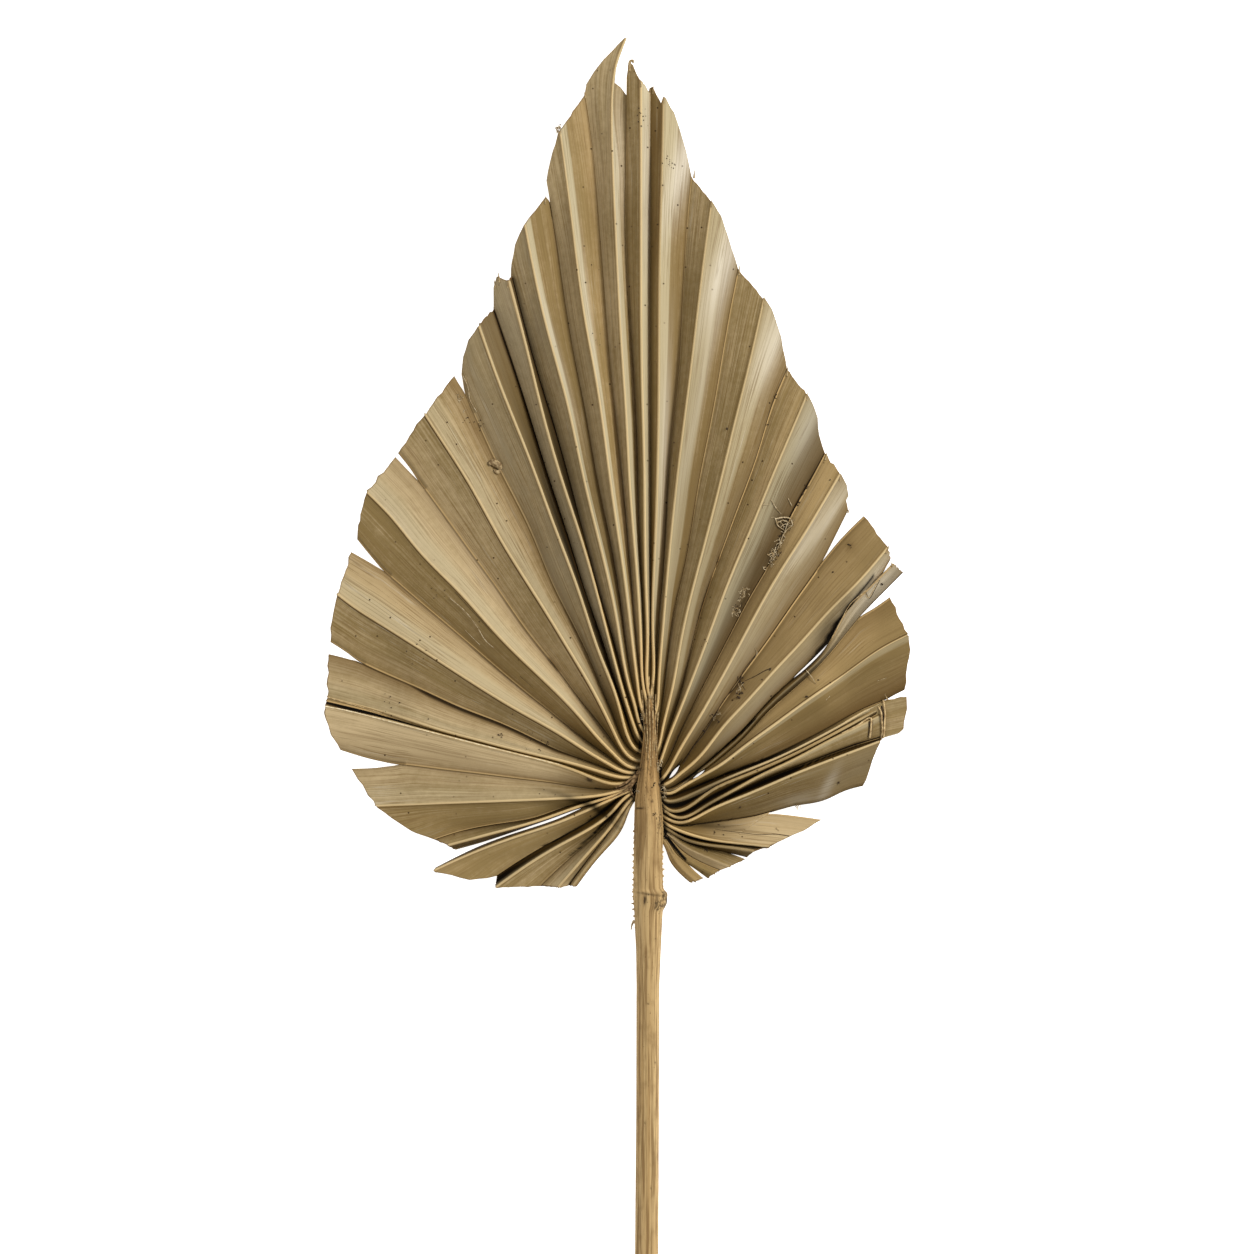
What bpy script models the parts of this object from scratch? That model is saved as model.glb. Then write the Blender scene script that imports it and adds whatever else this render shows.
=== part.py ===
# A dried fan palm leaf, trimmed to a spear head and lying face up: a pleated blade on a cut stem.
# Metres, +Z up. The leaf points along +Y, its stem along -Y, and it lies on z = 0.

import math

import bmesh
import bpy
import numpy as np

# Driving dimensions.
LEAF_WIDTH = 0.1996         # across the widest pleats
LEAF_AND_STEM = 0.500       # from the apex to the cut end
SHEET = 0.00065             # thickness of the dried blade, square to its surface
FOLD_DEPTH = 0.0064         # how far the ribs stand above the folds in the middle of the leaf
STEEPEST = 2.6              # rise over run that a pleat may reach
MIDDLE_HEIGHT = 0.0052      # the blade's mean surface above the table, at the stem
SIDE_DROP = 0.0030          # how much lower the side lobes hang
TIP_DROP = 0.0008           # how much lower the upper tips hang
LOBE_FROM, LOBE_TO = 0.035, 0.095   # distance from the axis over which the lobes sink
TIP_FROM, TIP_TO = 0.150, 0.255     # distance up the leaf over which the tips sink
CUP = 0.07                  # how far a pleat sags between rib and fold, as a share of the depth
FLATTER_LOBES = 0.45        # share of the fold depth that is lost in the side lobes
FLATTER_STEM = 0.6          # share lost beside the stem
FLATTER_RIM = 0.3           # share lost at the rim
STEM_PART, RIM_PART = 0.25, 0.8     # shares of a rib's length where those two losses end and begin
REST_REACH = 0.026          # how far round a resting spot the blade is drawn down
REST_FLAT = 0.012           # radius of the flat resting spot itself
CLEARANCE = 0.00034         # gap between the blade and the stem that carries it

# The fold lines are drawn on squared paper: x to the right, y down, one square per SQUARE.
LEFT_EDGE, RIGHT_EDGE = 324, 911
SQUARE = LEAF_WIDTH / (RIGHT_EDGE - LEFT_EDGE)
HEART = (648, 790)          # where stem and blade meet
APEX = 38                   # y of the leaf's highest point on the paper
CUT_END = APEX + LEAF_AND_STEM / SQUARE
LEFT_REST, RIGHT_REST = (346, 680), (884, 667)

ROWS = 12                   # steps from the stem to the rim along each rib
CROWDING = 1.3              # above 1 the rows lie closer together near the stem
BENT_FROM = 0.85            # share of its length from which a pleat's middle line bends to the rim
STEM_SIDES = 16
SHARP_FROM = 25             # degrees between faces above which an edge stays crisp
MEET = 0.00001              # lips of two pleats nearer than this are one fold

BLADE_COLOUR = (0.43, 0.33, 0.19)
STEM_COLOUR = (0.55, 0.42, 0.25)

# The stem from its tip between the ribs to the cut end: y, left edge, right edge on the paper,
# then the height of its middle and half its thickness, in millimetres.
STEM = [
    (698, 649.3, 650.7, 6.3, 0.5),
    (706, 647.7, 652.3, 6.3, 1.0),
    (716, 646.3, 653.6, 6.3, 1.6),
    (728, 645.1, 654.8, 6.2, 2.2),
    (742, 643.6, 656.3, 6.1, 2.8),
    (756, 641.7, 657.2, 6.0, 3.3),
    (770, 639.6, 658.3, 5.9, 3.7),
    (780, 637.7, 659.2, 5.8, 3.9),
    (790, 636.1, 660.1, 5.7, 4.0),
    (800, 634.9, 661.3, 5.6, 4.1),
    (815, 634.3, 662.8, 5.5, 4.2),
    (830, 634.0, 663.4, 5.4, 4.2),
    (860, 633.6, 662.3, 5.3, 4.2),
    (888, 633.2, 663.2, 5.2, 4.2),
    (893, 633.0, 666.8, 5.2, 4.4),
    (904, 633.6, 666.3, 5.1, 4.2),
    (911, 634.2, 662.7, 5.0, 4.0),
    (930, 635.0, 661.8, 4.9, 3.8),
    (950, 636.0, 660.8, 4.8, 3.6),
    (985, 636.5, 659.3, 4.6, 3.4),
    (1110, 636.2, 659.0, 4.2, 3.3),
    (1254, 635.0, 658.3, 3.8, 3.3),
    (1400, 633.6, 657.2, 3.4, 3.3),
    (CUT_END - 50, 632.8, 656.7, 2.7, 3.3),
    (CUT_END - 3, 632.3, 656.5, 2.7, 3.3),
    (CUT_END, 633.3, 655.5, 2.7, 2.9),
]

# The pleats clockwise from the left of the stem: name, y where the rib leaves the stem, the rib from
# there outwards, and the fold that follows it.
PLEATS = [
    ("L17", 794.4, [(628.6, 808), (618, 830), (600, 851), (573, 885.5)],
     [(628, 806), (611, 830), (586, 862), (569, 885)]),
    ("L16", 792.0, [(627, 804), (612, 825), (590, 850.5), (558, 887)],
     [(626, 801), (615, 815), (595, 837), (565, 863), (541, 886)]),
    ("L15", 789.6, [(625, 797.5), (612, 812), (590, 828.5), (560, 845), (530, 863), (496, 887)],
     [(624, 795.5), (612, 805.5), (590, 821), (560, 837.5), (520, 861), (497, 876)]),
    ("L14", 787.3, [(623, 793.5), (610, 799.8), (590, 809), (560, 822), (520, 835.5), (459, 859), (434, 871)],
     [(622, 792.6), (612, 797.2), (600, 801.5), (585, 806.5)]),
    ("L13", 785.0, [(622, 791.8), (612, 796), (600, 800), (584, 804.7), (560, 813), (540, 820), (500, 831),
                    (448, 845)],
     [(622, 791), (612, 794.7), (600, 798), (580, 803.5), (560, 809), (540, 817), (500, 824), (460, 832),
      (435, 840)]),
    ("L12", 782.5, [(630, 786.3), (622, 789.8), (610, 793.3), (590, 796.5), (560, 798.3), (520, 800),
                    (440, 803), (376, 806)],
     [(630, 784.5), (620, 788), (610, 789.8), (595, 789.3), (560, 784), (520, 779), (480, 774), (440, 769.5),
      (402, 765)]),
    ("L11", 779.0, [(632, 781), (622, 783.5), (612, 783.8), (600, 780.5), (580, 772.5), (560, 765.5),
                    (520, 755), (460, 740), (400, 724), (340, 709), (324, 706)],
     [(633, 778.5), (625, 780.5), (612, 779.8), (600, 776.2), (580, 769.3), (560, 763), (520, 753),
      (480, 742.8), (440, 732.5), (400, 720.5), (360, 710), (326, 702)]),
    ("L10", 775.5, [(634, 776.5), (628, 778), (620, 777), (600, 771.5), (560, 760), (520, 750.5),
                    (480, 740), (440, 729.5), (400, 716.5), (360, 705.5), (327, 697)],
     [(635, 774.5), (628, 775), (618, 772), (605, 767.5), (590, 762), (560, 751.5), (540, 742), (500, 723),
      (460, 708), (420, 689), (362, 664)]),
    ("L9", 772.0, [(634, 773), (625, 772), (610, 764.5), (590, 753), (560, 733.5), (520, 711), (460, 674),
                   (380, 623), (350, 604), (337, 594)],
     [(632, 770.5), (610, 757), (590, 743.5), (560, 720), (530, 696), (500, 671), (470, 645), (430, 611),
      (388, 575)]),
    ("L8", 767.5, [(633, 768), (628, 766), (614, 754), (600, 740), (580, 716.5), (540, 676), (500, 637),
                   (460, 592), (420, 552), (390, 515), (367, 492)],
     [(632, 762), (615, 744), (600, 724.5), (580, 700), (560, 673), (530, 636), (500, 593), (470, 552),
      (422, 486)]),
    ("L7", 761.0, [(634, 760), (628, 755), (614, 732), (593, 690), (570, 651), (540, 602), (500, 538),
                   (470, 484), (440, 437), (425, 414)],
     [(634, 752), (612, 713), (602, 690), (588, 655), (552, 584), (530, 530), (502, 475), (484, 437),
      (468, 400)]),
    ("L6", 752.0, [(636, 750), (632, 744), (622, 717), (614, 690), (600, 655), (580, 595), (555, 528),
                   (528, 455), (500, 385), (479, 326)],
     [(637, 743), (629, 722), (618, 690), (604, 645), (586, 595), (567, 533), (548, 475), (528, 410),
      (494, 308)]),
    ("L5", 744.0, [(639, 738), (635, 728), (627, 705), (622.5, 690), (603, 617), (583, 545), (563, 480),
                   (546, 422), (527, 350), (509, 281)],
     [(640, 732), (634, 712), (626, 688), (618, 657), (604, 612), (591, 566), (575, 503), (555, 430),
      (536, 369), (511.5, 276)]),
    ("L4", 735.0, [(641.5, 728), (635, 706), (630, 690), (617, 622), (600, 545), (584, 480), (567, 402),
                   (546, 325), (525, 225)],
     [(642, 716), (637, 700), (633, 685), (622, 615), (611, 545), (597, 478), (585, 410), (575, 360),
      (562, 280), (552, 204)]),
    ("L3", 722.0, [(642.5, 711), (638, 688), (635, 665), (624, 575), (611, 487), (597, 385), (585, 320),
                   (573, 230), (564, 160), (560, 131)],
     [(643.7, 703), (641, 685), (636, 640), (627, 530), (616, 420), (609, 350), (603, 270), (597, 195),
      (592, 140), (585, 94)]),
    ("L2", 710.0, [(645, 695), (641, 650), (636, 565), (630, 490), (626, 415), (621, 340), (616, 240),
                   (612, 140), (612.5, 92), (617, 60), (626, 38)],
     [(646.3, 695), (644, 650), (641, 580), (639, 530), (636, 420), (631, 340), (625, 230), (626, 160),
      (628, 97)]),
    ("L1", 702.0, [(648, 690), (647.3, 650), (646, 590), (644, 460), (642, 385), (641, 240), (641, 81)],
     [(650.3, 680), (651, 640), (650.5, 590), (650, 480), (650, 220), (651, 98)]),
    ("R1", 702.0, [(652.6, 685), (653, 640), (655, 550), (659, 385), (660, 260), (663, 150), (664, 97)],
     [(655.3, 690), (657, 650), (663, 580), (669, 470), (678, 385), (683, 290), (688, 210), (691, 176)]),
    ("R2", 722.0, [(657, 708), (658.5, 690), (662, 640), (667, 580), (680, 455), (689, 385), (698, 310),
                   (706, 245), (712, 202)],
     [(658.5, 725), (661, 712), (665, 680), (670, 640), (676.5, 600), (683, 575), (698, 485), (711, 420),
      (729, 315), (738, 269)]),
    ("R3", 748.0, [(660.5, 742), (663.5, 732), (667, 715), (673, 690), (682, 635), (694, 584), (713.5, 510),
                   (735.5, 420), (748, 370), (764, 299)],
     [(662, 752), (665, 742), (672, 722), (680, 698), (690, 655), (702, 605), (718, 560), (741, 498),
      (757, 455), (772, 405), (787, 369)]),
    ("R4", 762.0, [(662, 757), (666, 745), (677, 717), (691, 682), (707, 640), (730, 578), (750, 531),
                   (770, 482), (790, 435), (807, 395)],
     [(665, 766), (670, 757), (678, 738), (690, 712), (710, 673), (731, 633), (752, 593), (772, 560),
      (789, 519), (808, 485), (825, 453)]),
    ("R5", 777.0, [(665.5, 776), (671, 767), (678, 757), (690, 730), (710, 697), (735, 653), (758, 610),
                   (783, 567), (805, 533), (820, 508), (840, 474)],
     [(667, 780.5), (676, 770), (688, 754), (702, 733), (713, 717), (738, 680), (766, 642), (795, 600),
      (824, 559)]),
    ("R6", 785.0, [(671, 781), (680, 773.7), (690, 765.6), (699, 757), (722, 728), (745, 703), (774, 671),
                   (803, 640), (830, 610), (858, 582), (888, 547)],
     [(669, 788.5), (680, 782), (690, 775.5), (700, 768.5), (710, 761), (720, 751.5), (741, 732.5),
      (757, 715), (786, 685)]),
    ("R7", 788.3, [(669.5, 790.2), (691, 777), (706, 766.3), (723, 752.5), (743, 734.5), (758, 717.3),
                   (789, 687.5), (809.5, 669.7), (829, 649.5), (844, 628.5), (861, 605), (882, 583),
                   (897, 567)],
     [(670, 792), (680, 785.5), (692, 779), (707, 768.3), (724, 754.8), (744.5, 736.5), (759.5, 719.7),
      (790, 691.5), (812, 671.5), (832, 650), (846, 633), (857, 619)]),
    ("R8", 791.5, [(670, 793.7), (680, 787.7), (699, 777), (720, 765), (740, 749.5), (771, 727), (810, 698.5),
                   (850, 671), (881, 649), (908, 635)],
     [(668, 796), (680, 791.5), (700, 784.5), (720, 777), (740, 769), (770, 757), (800, 743), (830, 728),
      (860, 711), (883, 700.7)]),
    ("R9", 796.0, [(664.5, 799.5), (669, 801), (676, 799.8), (690, 794.5), (715, 783), (740, 772.5),
                   (770, 760.5), (800, 746.5), (830, 731), (860, 713.5), (884, 703), (907, 700)],
     [(665, 803), (671, 805.5), (680, 805), (695, 798.5), (715, 786.3), (740, 775), (770, 762.7),
      (800, 749), (830, 733.3), (860, 716), (885, 706.5), (907.5, 708)]),
    ("R10", 801.0, [(664.5, 806.5), (669, 810), (677, 811), (688, 807), (700, 798.5), (712, 790),
                    (725, 783.5), (745, 775.5), (770, 765), (800, 751.3), (830, 735.7), (860, 718.7),
                    (885, 711), (906, 716.5)],
     [(665.5, 809.5), (670, 812.5), (680, 814), (690, 810.5), (705, 801), (720, 792), (735, 784.5),
      (750, 777.5), (770, 768), (800, 753.7), (830, 738), (860, 721.5), (885, 717), (904, 725)]),
    ("R11", 807.0, [(666, 811.5), (672, 815.5), (680, 817.7), (690, 815), (705, 806), (720, 797.5),
                    (740, 786.5), (758, 776.5), (780, 766.3), (800, 756.5), (830, 740.5), (860, 725),
                    (885, 724), (899, 732)],
     [(666.5, 815), (673, 818.8), (681, 820.2), (690, 817.3), (705, 809), (720, 801), (745, 788.5),
      (770, 777), (800, 765.5), (830, 754.5), (860, 744), (884, 737.3)]),
    ("R12", 814.0, [(667, 818.5), (674, 821.5), (682, 822.3), (690, 819.5), (705, 811.5), (720, 804),
                    (740, 796), (770, 783), (800, 770), (830, 759), (860, 748), (880, 741)],
     [(668, 822), (682, 825.3), (700, 824), (730, 820), (757, 816), (772, 814)]),
    ("R13", 820.0, [(668, 825), (680, 830.5), (700, 837), (730, 842), (770, 845.7)],
     [(669, 828), (680, 834), (700, 840.5), (730, 844.6), (767, 847.7)]),
    ("R14", 824.5, [(669.5, 830), (680, 836.8), (700, 843.3), (730, 847), (754, 850.5)],
     [(669.5, 832), (683, 841), (700, 847), (721, 851)]),
    ("R15", 828.5, [(669.5, 834.5), (683, 845), (700, 853.5), (730, 866)],
     [(669, 836.5), (679, 848), (697, 860), (720, 870)]),
    ("R16", 832.5, [(668.5, 839), (677, 851), (692, 863), (713, 874)],
     [(667.8, 841), (675, 852.5), (687, 862.5)]),
    ("R17", 836.5, [(667, 843), (673, 856), (683, 869), (696, 880.3)],
     [(665.2, 847), (669, 859), (678, 871), (690, 882)]),
]
FIRST_FOLD = [(632, 803), (626, 818), (621.5, 829), (600, 855), (576, 886)]
FIRST_FOLD_Y, LAST_FOLD_Y = 797.0, 839.5

# Where a fold is torn open, how each lip runs on from its end: the pleat before it, the pleat after.
SPLITS = {
    "L14": ([(560, 819), (520, 832.5), (480, 847), (436, 868.5)],
            [(560, 815), (520, 829), (480, 842), (455, 849)]),
    "L12": ([(375, 768.5), (351, 769)], [(370, 759), (340, 750)]),
    "L10": ([(345, 658), (328, 654)], [(346, 652), (330, 642)]),
    "L9": ([(370, 563), (351, 552)], [(374, 560), (357, 539)]),
    "L8": ([(408, 471), (395, 457)], [(411, 469), (398, 453)]),
    "L7": ([(461, 389), (454, 376)], [(464, 385), (462, 374)]),
    "R5": ([(833, 541), (848, 510)], [(842, 538), (864, 516)]),
    "R6": ([(805, 663), (822, 645), (838, 620), (853, 600), (871, 577), (889, 561)],
           [(806, 669), (826, 650), (842, 624), (858, 602), (878, 578), (891, 563)]),
    "R7": ([(885, 589), (902, 571)], [(873, 609), (890, 597)]),
    "R8": ([(895, 695), (905, 690)], [(895, 699.5), (906, 697)]),
    "R12": ([(785, 806), (800, 805), (825, 801), (845, 790), (863, 786)], [(791, 816), (822, 820)]),
    "R14": ([(735, 853.3), (747, 856.5)], [(735, 856), (745, 860)]),
    "R16": ([(696, 869.5), (707.5, 877.5)], [(693, 869.8), (702, 878)]),
}

# Where the trimmed rim bulges from the straight line between fold and rib: before and after the rib.
RIM = {
    "L14": ((470, 879.5), None),
    "L12": ((404, 829), None),
    "L6": ((466, 345), None),
    "L5": ((500, 275), None),
    "L4": ((514, 248), (543, 199)),
    "L3": ((549, 169), None),
    "L2": ((603, 57), (620, 88)),
    "L1": ((630, 63), None),
    "R1": ((654, 88), (680, 133)),
    "R3": (None, (780, 332)),
    "R5": (None, (848, 491)),
    "R8": (None, (911, 662)),
    "R13": ((803, 830.5), None),
}


def clear_scene():
    for item in list(bpy.data.objects):
        bpy.data.objects.remove(item)


def smooth_step(value, low, high):
    t = np.clip((np.asarray(value, float) - low) / (high - low), 0, 1)
    return t * t * (3 - 2 * t)


# A smooth curve through the points, as a dense polyline: cubic spans, with each tangent weighted
# by the lengths of the spans beside it.
def curve_through(points, steps=16):
    p = np.array(points, float)
    if len(p) == 2:
        return p[0] + np.linspace(0, 1, steps + 1)[:, None] * (p[1] - p[0])
    span = np.linalg.norm(np.diff(p, axis=0), axis=1)[:, None]
    slope = np.diff(p, axis=0) / span
    inner = (slope[:-1] * span[1:] + slope[1:] * span[:-1]) / (span[:-1] + span[1:])
    tangent = np.vstack([slope[:1], inner, slope[-1:]])
    t = np.linspace(0, 1, steps, endpoint=False)[None, :, None]
    start, end, length = p[:-1, None], p[1:, None], span[:, None]
    curve = (
        start * (1 + 2 * t) * (1 - t) ** 2
        + tangent[:-1, None] * length * t * (1 - t) ** 2
        + end * t * t * (3 - 2 * t)
        - tangent[1:, None] * length * t * t * (1 - t)
    )
    return np.vstack([curve.reshape(-1, 2), p[-1:]])


def run_length(line):
    return np.concatenate([[0], np.cumsum(np.linalg.norm(np.diff(line, axis=0), axis=1))])


def points_along(line, shares):
    run = run_length(line)
    return np.stack([np.interp(shares * run[-1], run, line[:, axis]) for axis in (0, 1)], axis=1)


# The rows' shares of the way from the stem to the rim.
def row_shares():
    return (np.arange(ROWS + 1) / ROWS) ** CROWDING


# The point beside the stem where a line leaves it, on the left or the right.
def beside_stem(y, side):
    rows = np.array([row[:3] for row in STEM])
    gap = CLEARANCE / SQUARE
    if side < 0:
        return np.interp(y, rows[:, 0], rows[:, 1]) - gap, y
    return np.interp(y, rows[:, 0], rows[:, 2]) + gap, y


# Both lips of a fold, row by row: alike as far as the fold holds together.
def fold_lips(start, shared, split):
    shares = row_shares()
    whole = curve_through([start] + shared)
    if split is None:
        lip = points_along(whole, shares)
        return lip, lip
    run = run_length(whole)[-1]
    lips = [curve_through([shared[-1]] + branch) for branch in split]
    total = run + np.mean([run_length(lip)[-1] for lip in lips])
    root = int(np.clip(np.argmin(abs(shares - run / total)), 2, ROWS - 1))
    inner = points_along(whole, shares[: root + 1] / shares[root])
    beyond = (shares[root:] - shares[root]) / (1 - shares[root])
    return tuple(np.vstack([inner, points_along(lip, beyond)[1:]]) for lip in lips)


# The line halfway across a pleat, bent at its end to the point that the rim reaches there.
def middle_line(fold, rib, rim):
    middle = (fold + rib) / 2
    if rim is not None:
        reach = smooth_step(row_shares(), BENT_FROM, 1.0)[:, None]
        middle = middle + reach * (np.array(rim) - middle[-1])
    return middle


def pleat_side(name):
    return -1 if name[0] == "L" else 1


# All pleats as grids of points on the paper: fold, middle, rib, middle, fold in each row.
def pleat_grids():
    starts = [beside_stem(FIRST_FOLD_Y, -1)]
    for before, after in zip(PLEATS, PLEATS[1:]):
        if before[0] == "L1":
            starts.append((np.mean(STEM[0][1:3]), STEM[0][0] - 2 * CLEARANCE / SQUARE))
        else:
            starts.append(beside_stem((before[1] + after[1]) / 2, pleat_side(after[0])))
    starts.append(beside_stem(LAST_FOLD_Y, 1))
    lips = [fold_lips(starts[0], FIRST_FOLD, None)]
    lips += [fold_lips(start, pleat[3], SPLITS.get(pleat[0])) for start, pleat in zip(starts[1:], PLEATS)]
    grids = []
    for index, (name, height, rib_points, _) in enumerate(PLEATS):
        start = beside_stem(height, pleat_side(name))
        rib = points_along(curve_through([start] + rib_points), row_shares())
        before, after = lips[index][1], lips[index + 1][0]
        rim = RIM.get(name, (None, None))
        near, far = middle_line(before, rib, rim[0]), middle_line(after, rib, rim[1])
        grids.append(np.stack([before, near, rib, far, after], axis=1))
    return grids


def to_metres(grid):
    out = (grid - np.array(HEART)) * SQUARE
    out[..., 1] *= -1
    return out


# How deep the pleat is folded in each row: shallow at the stem, at the rim and in the side lobes,
# and never steeper than the sheet can be folded.
def fold_depth(grid):
    shares = row_shares()
    rib = grid[:, 2]
    narrow = np.minimum(np.linalg.norm(rib - grid[:, 0], axis=1), np.linalg.norm(rib - grid[:, 4], axis=1))
    depth = FOLD_DEPTH * (1 - FLATTER_LOBES * smooth_step(abs(rib[:, 0]), LOBE_FROM, LOBE_TO))
    depth *= 1 - FLATTER_STEM * (1 - smooth_step(shares, 0, STEM_PART))
    depth *= 1 - FLATTER_RIM * smooth_step(shares, RIM_PART, 1)
    return np.minimum(depth, STEEPEST * narrow)


def mean_height(x, y):
    lobe = smooth_step(abs(x), LOBE_FROM, LOBE_TO)
    tip = smooth_step(y, TIP_FROM, TIP_TO)
    return MIDDLE_HEIGHT - SIDE_DROP * lobe - TIP_DROP * tip


# Heights of the pleats' upper side, and the upright thickness that gives the sheet its own.
def raise_pleats(grids):
    depths = [fold_depth(grid) for grid in grids]
    solid = []
    for index, grid in enumerate(grids):
        own = depths[index]
        fold_before = (own + depths[max(index - 1, 0)]) / 2
        fold_after = (own + depths[min(index + 1, len(grids) - 1)]) / 2
        x, y = grid[..., 0], grid[..., 1]
        rise = np.stack([-fold_before, -CUP * own, own, -CUP * own, -fold_after], axis=1) / 2
        z = mean_height(x, y) + rise
        run = np.linalg.norm(np.diff(grid, axis=1), axis=2)
        steep = np.abs(np.diff(rise, axis=1)) / np.maximum(run, SHEET / 2)
        steep = np.concatenate([steep[:, :1], np.maximum(steep[:, 1:], steep[:, :-1]), steep[:, -1:]], axis=1)
        upright = SHEET * np.sqrt(1 + np.minimum(steep, STEEPEST) ** 2)
        for spot in (LEFT_REST, RIGHT_REST):
            middle = to_metres(np.array(spot, float))
            away = np.hypot(x - middle[0], y - middle[1])
            press = 1 - smooth_step(away, REST_FLAT, REST_REACH)
            z = z * (1 - press) + SHEET * press
        solid.append(np.dstack([x, y, np.maximum(z, SHEET), upright]))
    return solid


def build_blade():
    mesh = bmesh.new()
    thickness = mesh.verts.layers.float.new("upright")
    for grid in raise_pleats([to_metres(grid) for grid in pleat_grids()]):
        corners = [[mesh.verts.new(point[:3]) for point in row] for row in grid]
        for vert, point in zip(sum(corners, []), grid.reshape(-1, 4)):
            vert[thickness] = point[3]
        for inner, outer in zip(corners, corners[1:]):
            for column in range(4):
                near = [inner[column], outer[column], outer[column + 1]]
                far = [inner[column], outer[column + 1], inner[column + 1]]
                mesh.faces.new(near)
                mesh.faces.new(far)
    bmesh.ops.remove_doubles(mesh, verts=mesh.verts, dist=MEET)
    top = list(mesh.verts)
    lower = {tuple(vert.co): max(vert.co.z - vert[thickness], 0.0) for vert in top}
    made = bmesh.ops.extrude_face_region(mesh, geom=list(mesh.faces), use_keep_orig=True)
    for vert in made["geom"]:
        if isinstance(vert, bmesh.types.BMVert):
            vert.co.z = lower[tuple(vert.co)]
    bmesh.ops.triangulate(mesh, faces=[face for face in mesh.faces if len(face.verts) > 3])
    bmesh.ops.recalc_face_normals(mesh, faces=mesh.faces)
    return finish(mesh, "blade", BLADE_COLOUR, 0.62)


# One ring of the stem: an ellipse between its edges, flat where it lies on the table.
def stem_ring(mesh, row):
    y, left, right, middle, half = row
    ring = []
    for side in range(STEM_SIDES):
        turn = 2 * math.pi * (side + 0.5) / STEM_SIDES
        x = ((left + right) / 2 - HEART[0] + (right - left) / 2 * math.cos(turn)) * SQUARE
        z = max((middle + half * math.sin(turn)) / 1000, 0.0)
        ring.append(mesh.verts.new((x, (HEART[1] - y) * SQUARE, z)))
    return ring


def build_stem():
    mesh = bmesh.new()
    rings = [stem_ring(mesh, row) for row in STEM]
    for above, below in zip(rings, rings[1:]):
        for side in range(STEM_SIDES):
            after = (side + 1) % STEM_SIDES
            mesh.faces.new([above[side], above[after], below[after], below[side]])
    mesh.faces.new(rings[0])
    mesh.faces.new(rings[-1])
    bmesh.ops.triangulate(mesh, faces=mesh.faces)
    bmesh.ops.recalc_face_normals(mesh, faces=mesh.faces)
    return finish(mesh, "stem", STEM_COLOUR, 0.7)


def finish(mesh, name, colour, roughness):
    data = bpy.data.meshes.new(name)
    mesh.to_mesh(data)
    mesh.free()
    data.shade_smooth()
    data.set_sharp_from_angle(angle=math.radians(SHARP_FROM))
    material = bpy.data.materials.new(name)
    material.use_nodes = True
    shader = material.node_tree.nodes["Principled BSDF"]
    shader.inputs["Base Color"].default_value = (*colour, 1)
    shader.inputs["Roughness"].default_value = roughness
    shader.inputs["Metallic"].default_value = 0
    data.materials.append(material)
    made = bpy.data.objects.new(name, data)
    bpy.context.scene.collection.objects.link(made)
    return made


# Sets the middle of the whole outline, seen from above, on the origin.
def centre(pieces):
    points = np.array([vert.co for piece in pieces for vert in piece.data.vertices])
    middle = (points.min(axis=0) + points.max(axis=0)) / 2
    for piece in pieces:
        for vert in piece.data.vertices:
            vert.co.x -= middle[0]
            vert.co.y -= middle[1]


clear_scene()
centre([build_blade(), build_stem()])
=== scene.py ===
# A dried fan palm leaf, trimmed to a spear head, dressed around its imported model.
# Metres, +Z up: the leaf lies face up on the floor with its tip towards +Y.

import math

import bpy
import numpy as np
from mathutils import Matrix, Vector
from mathutils.bvhtree import BVHTree


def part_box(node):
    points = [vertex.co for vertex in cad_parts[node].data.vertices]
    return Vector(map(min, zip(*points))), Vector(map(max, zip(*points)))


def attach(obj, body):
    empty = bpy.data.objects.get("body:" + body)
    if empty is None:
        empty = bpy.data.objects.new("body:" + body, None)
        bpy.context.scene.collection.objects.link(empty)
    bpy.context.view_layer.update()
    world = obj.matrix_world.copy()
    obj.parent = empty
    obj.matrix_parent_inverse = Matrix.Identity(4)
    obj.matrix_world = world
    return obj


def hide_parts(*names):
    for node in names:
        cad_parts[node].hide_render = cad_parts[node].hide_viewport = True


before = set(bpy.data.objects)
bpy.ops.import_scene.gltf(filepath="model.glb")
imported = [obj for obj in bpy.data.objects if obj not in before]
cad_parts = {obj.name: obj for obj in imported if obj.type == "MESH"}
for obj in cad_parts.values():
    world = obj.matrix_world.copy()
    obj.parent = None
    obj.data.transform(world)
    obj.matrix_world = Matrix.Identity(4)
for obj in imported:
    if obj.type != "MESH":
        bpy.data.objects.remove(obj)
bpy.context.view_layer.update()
bladeLow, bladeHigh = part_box("blade")
stemLow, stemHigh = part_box("stem")

# The leaf is drawn on squared paper, x to the right and y down. These squares lie on the blade's box, and
# the view is as many squares wide and high.
paper = {"left": 324, "right": 911, "top": 38, "view": 1254}
square = (bladeHigh.x - bladeLow.x) / (paper["right"] - paper["left"])


# Places on the paper as places in the frame, in metres.
def toFrame(points):
    points = np.asarray(points, float)
    out = np.empty(points.shape)
    out[..., 0] = bladeLow.x + (points[..., 0] - paper["left"]) * square
    out[..., 1] = bladeHigh.y - (points[..., 1] - paper["top"]) * square
    return out


# A smooth step from 0 at low to 1 at high: 3t^2 - 2t^3.
def smoothStep(value, low, high):
    t = np.clip((np.asarray(value, float) - low) / (high - low), 0, 1)
    return t * t * (3 - 2 * t)


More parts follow.
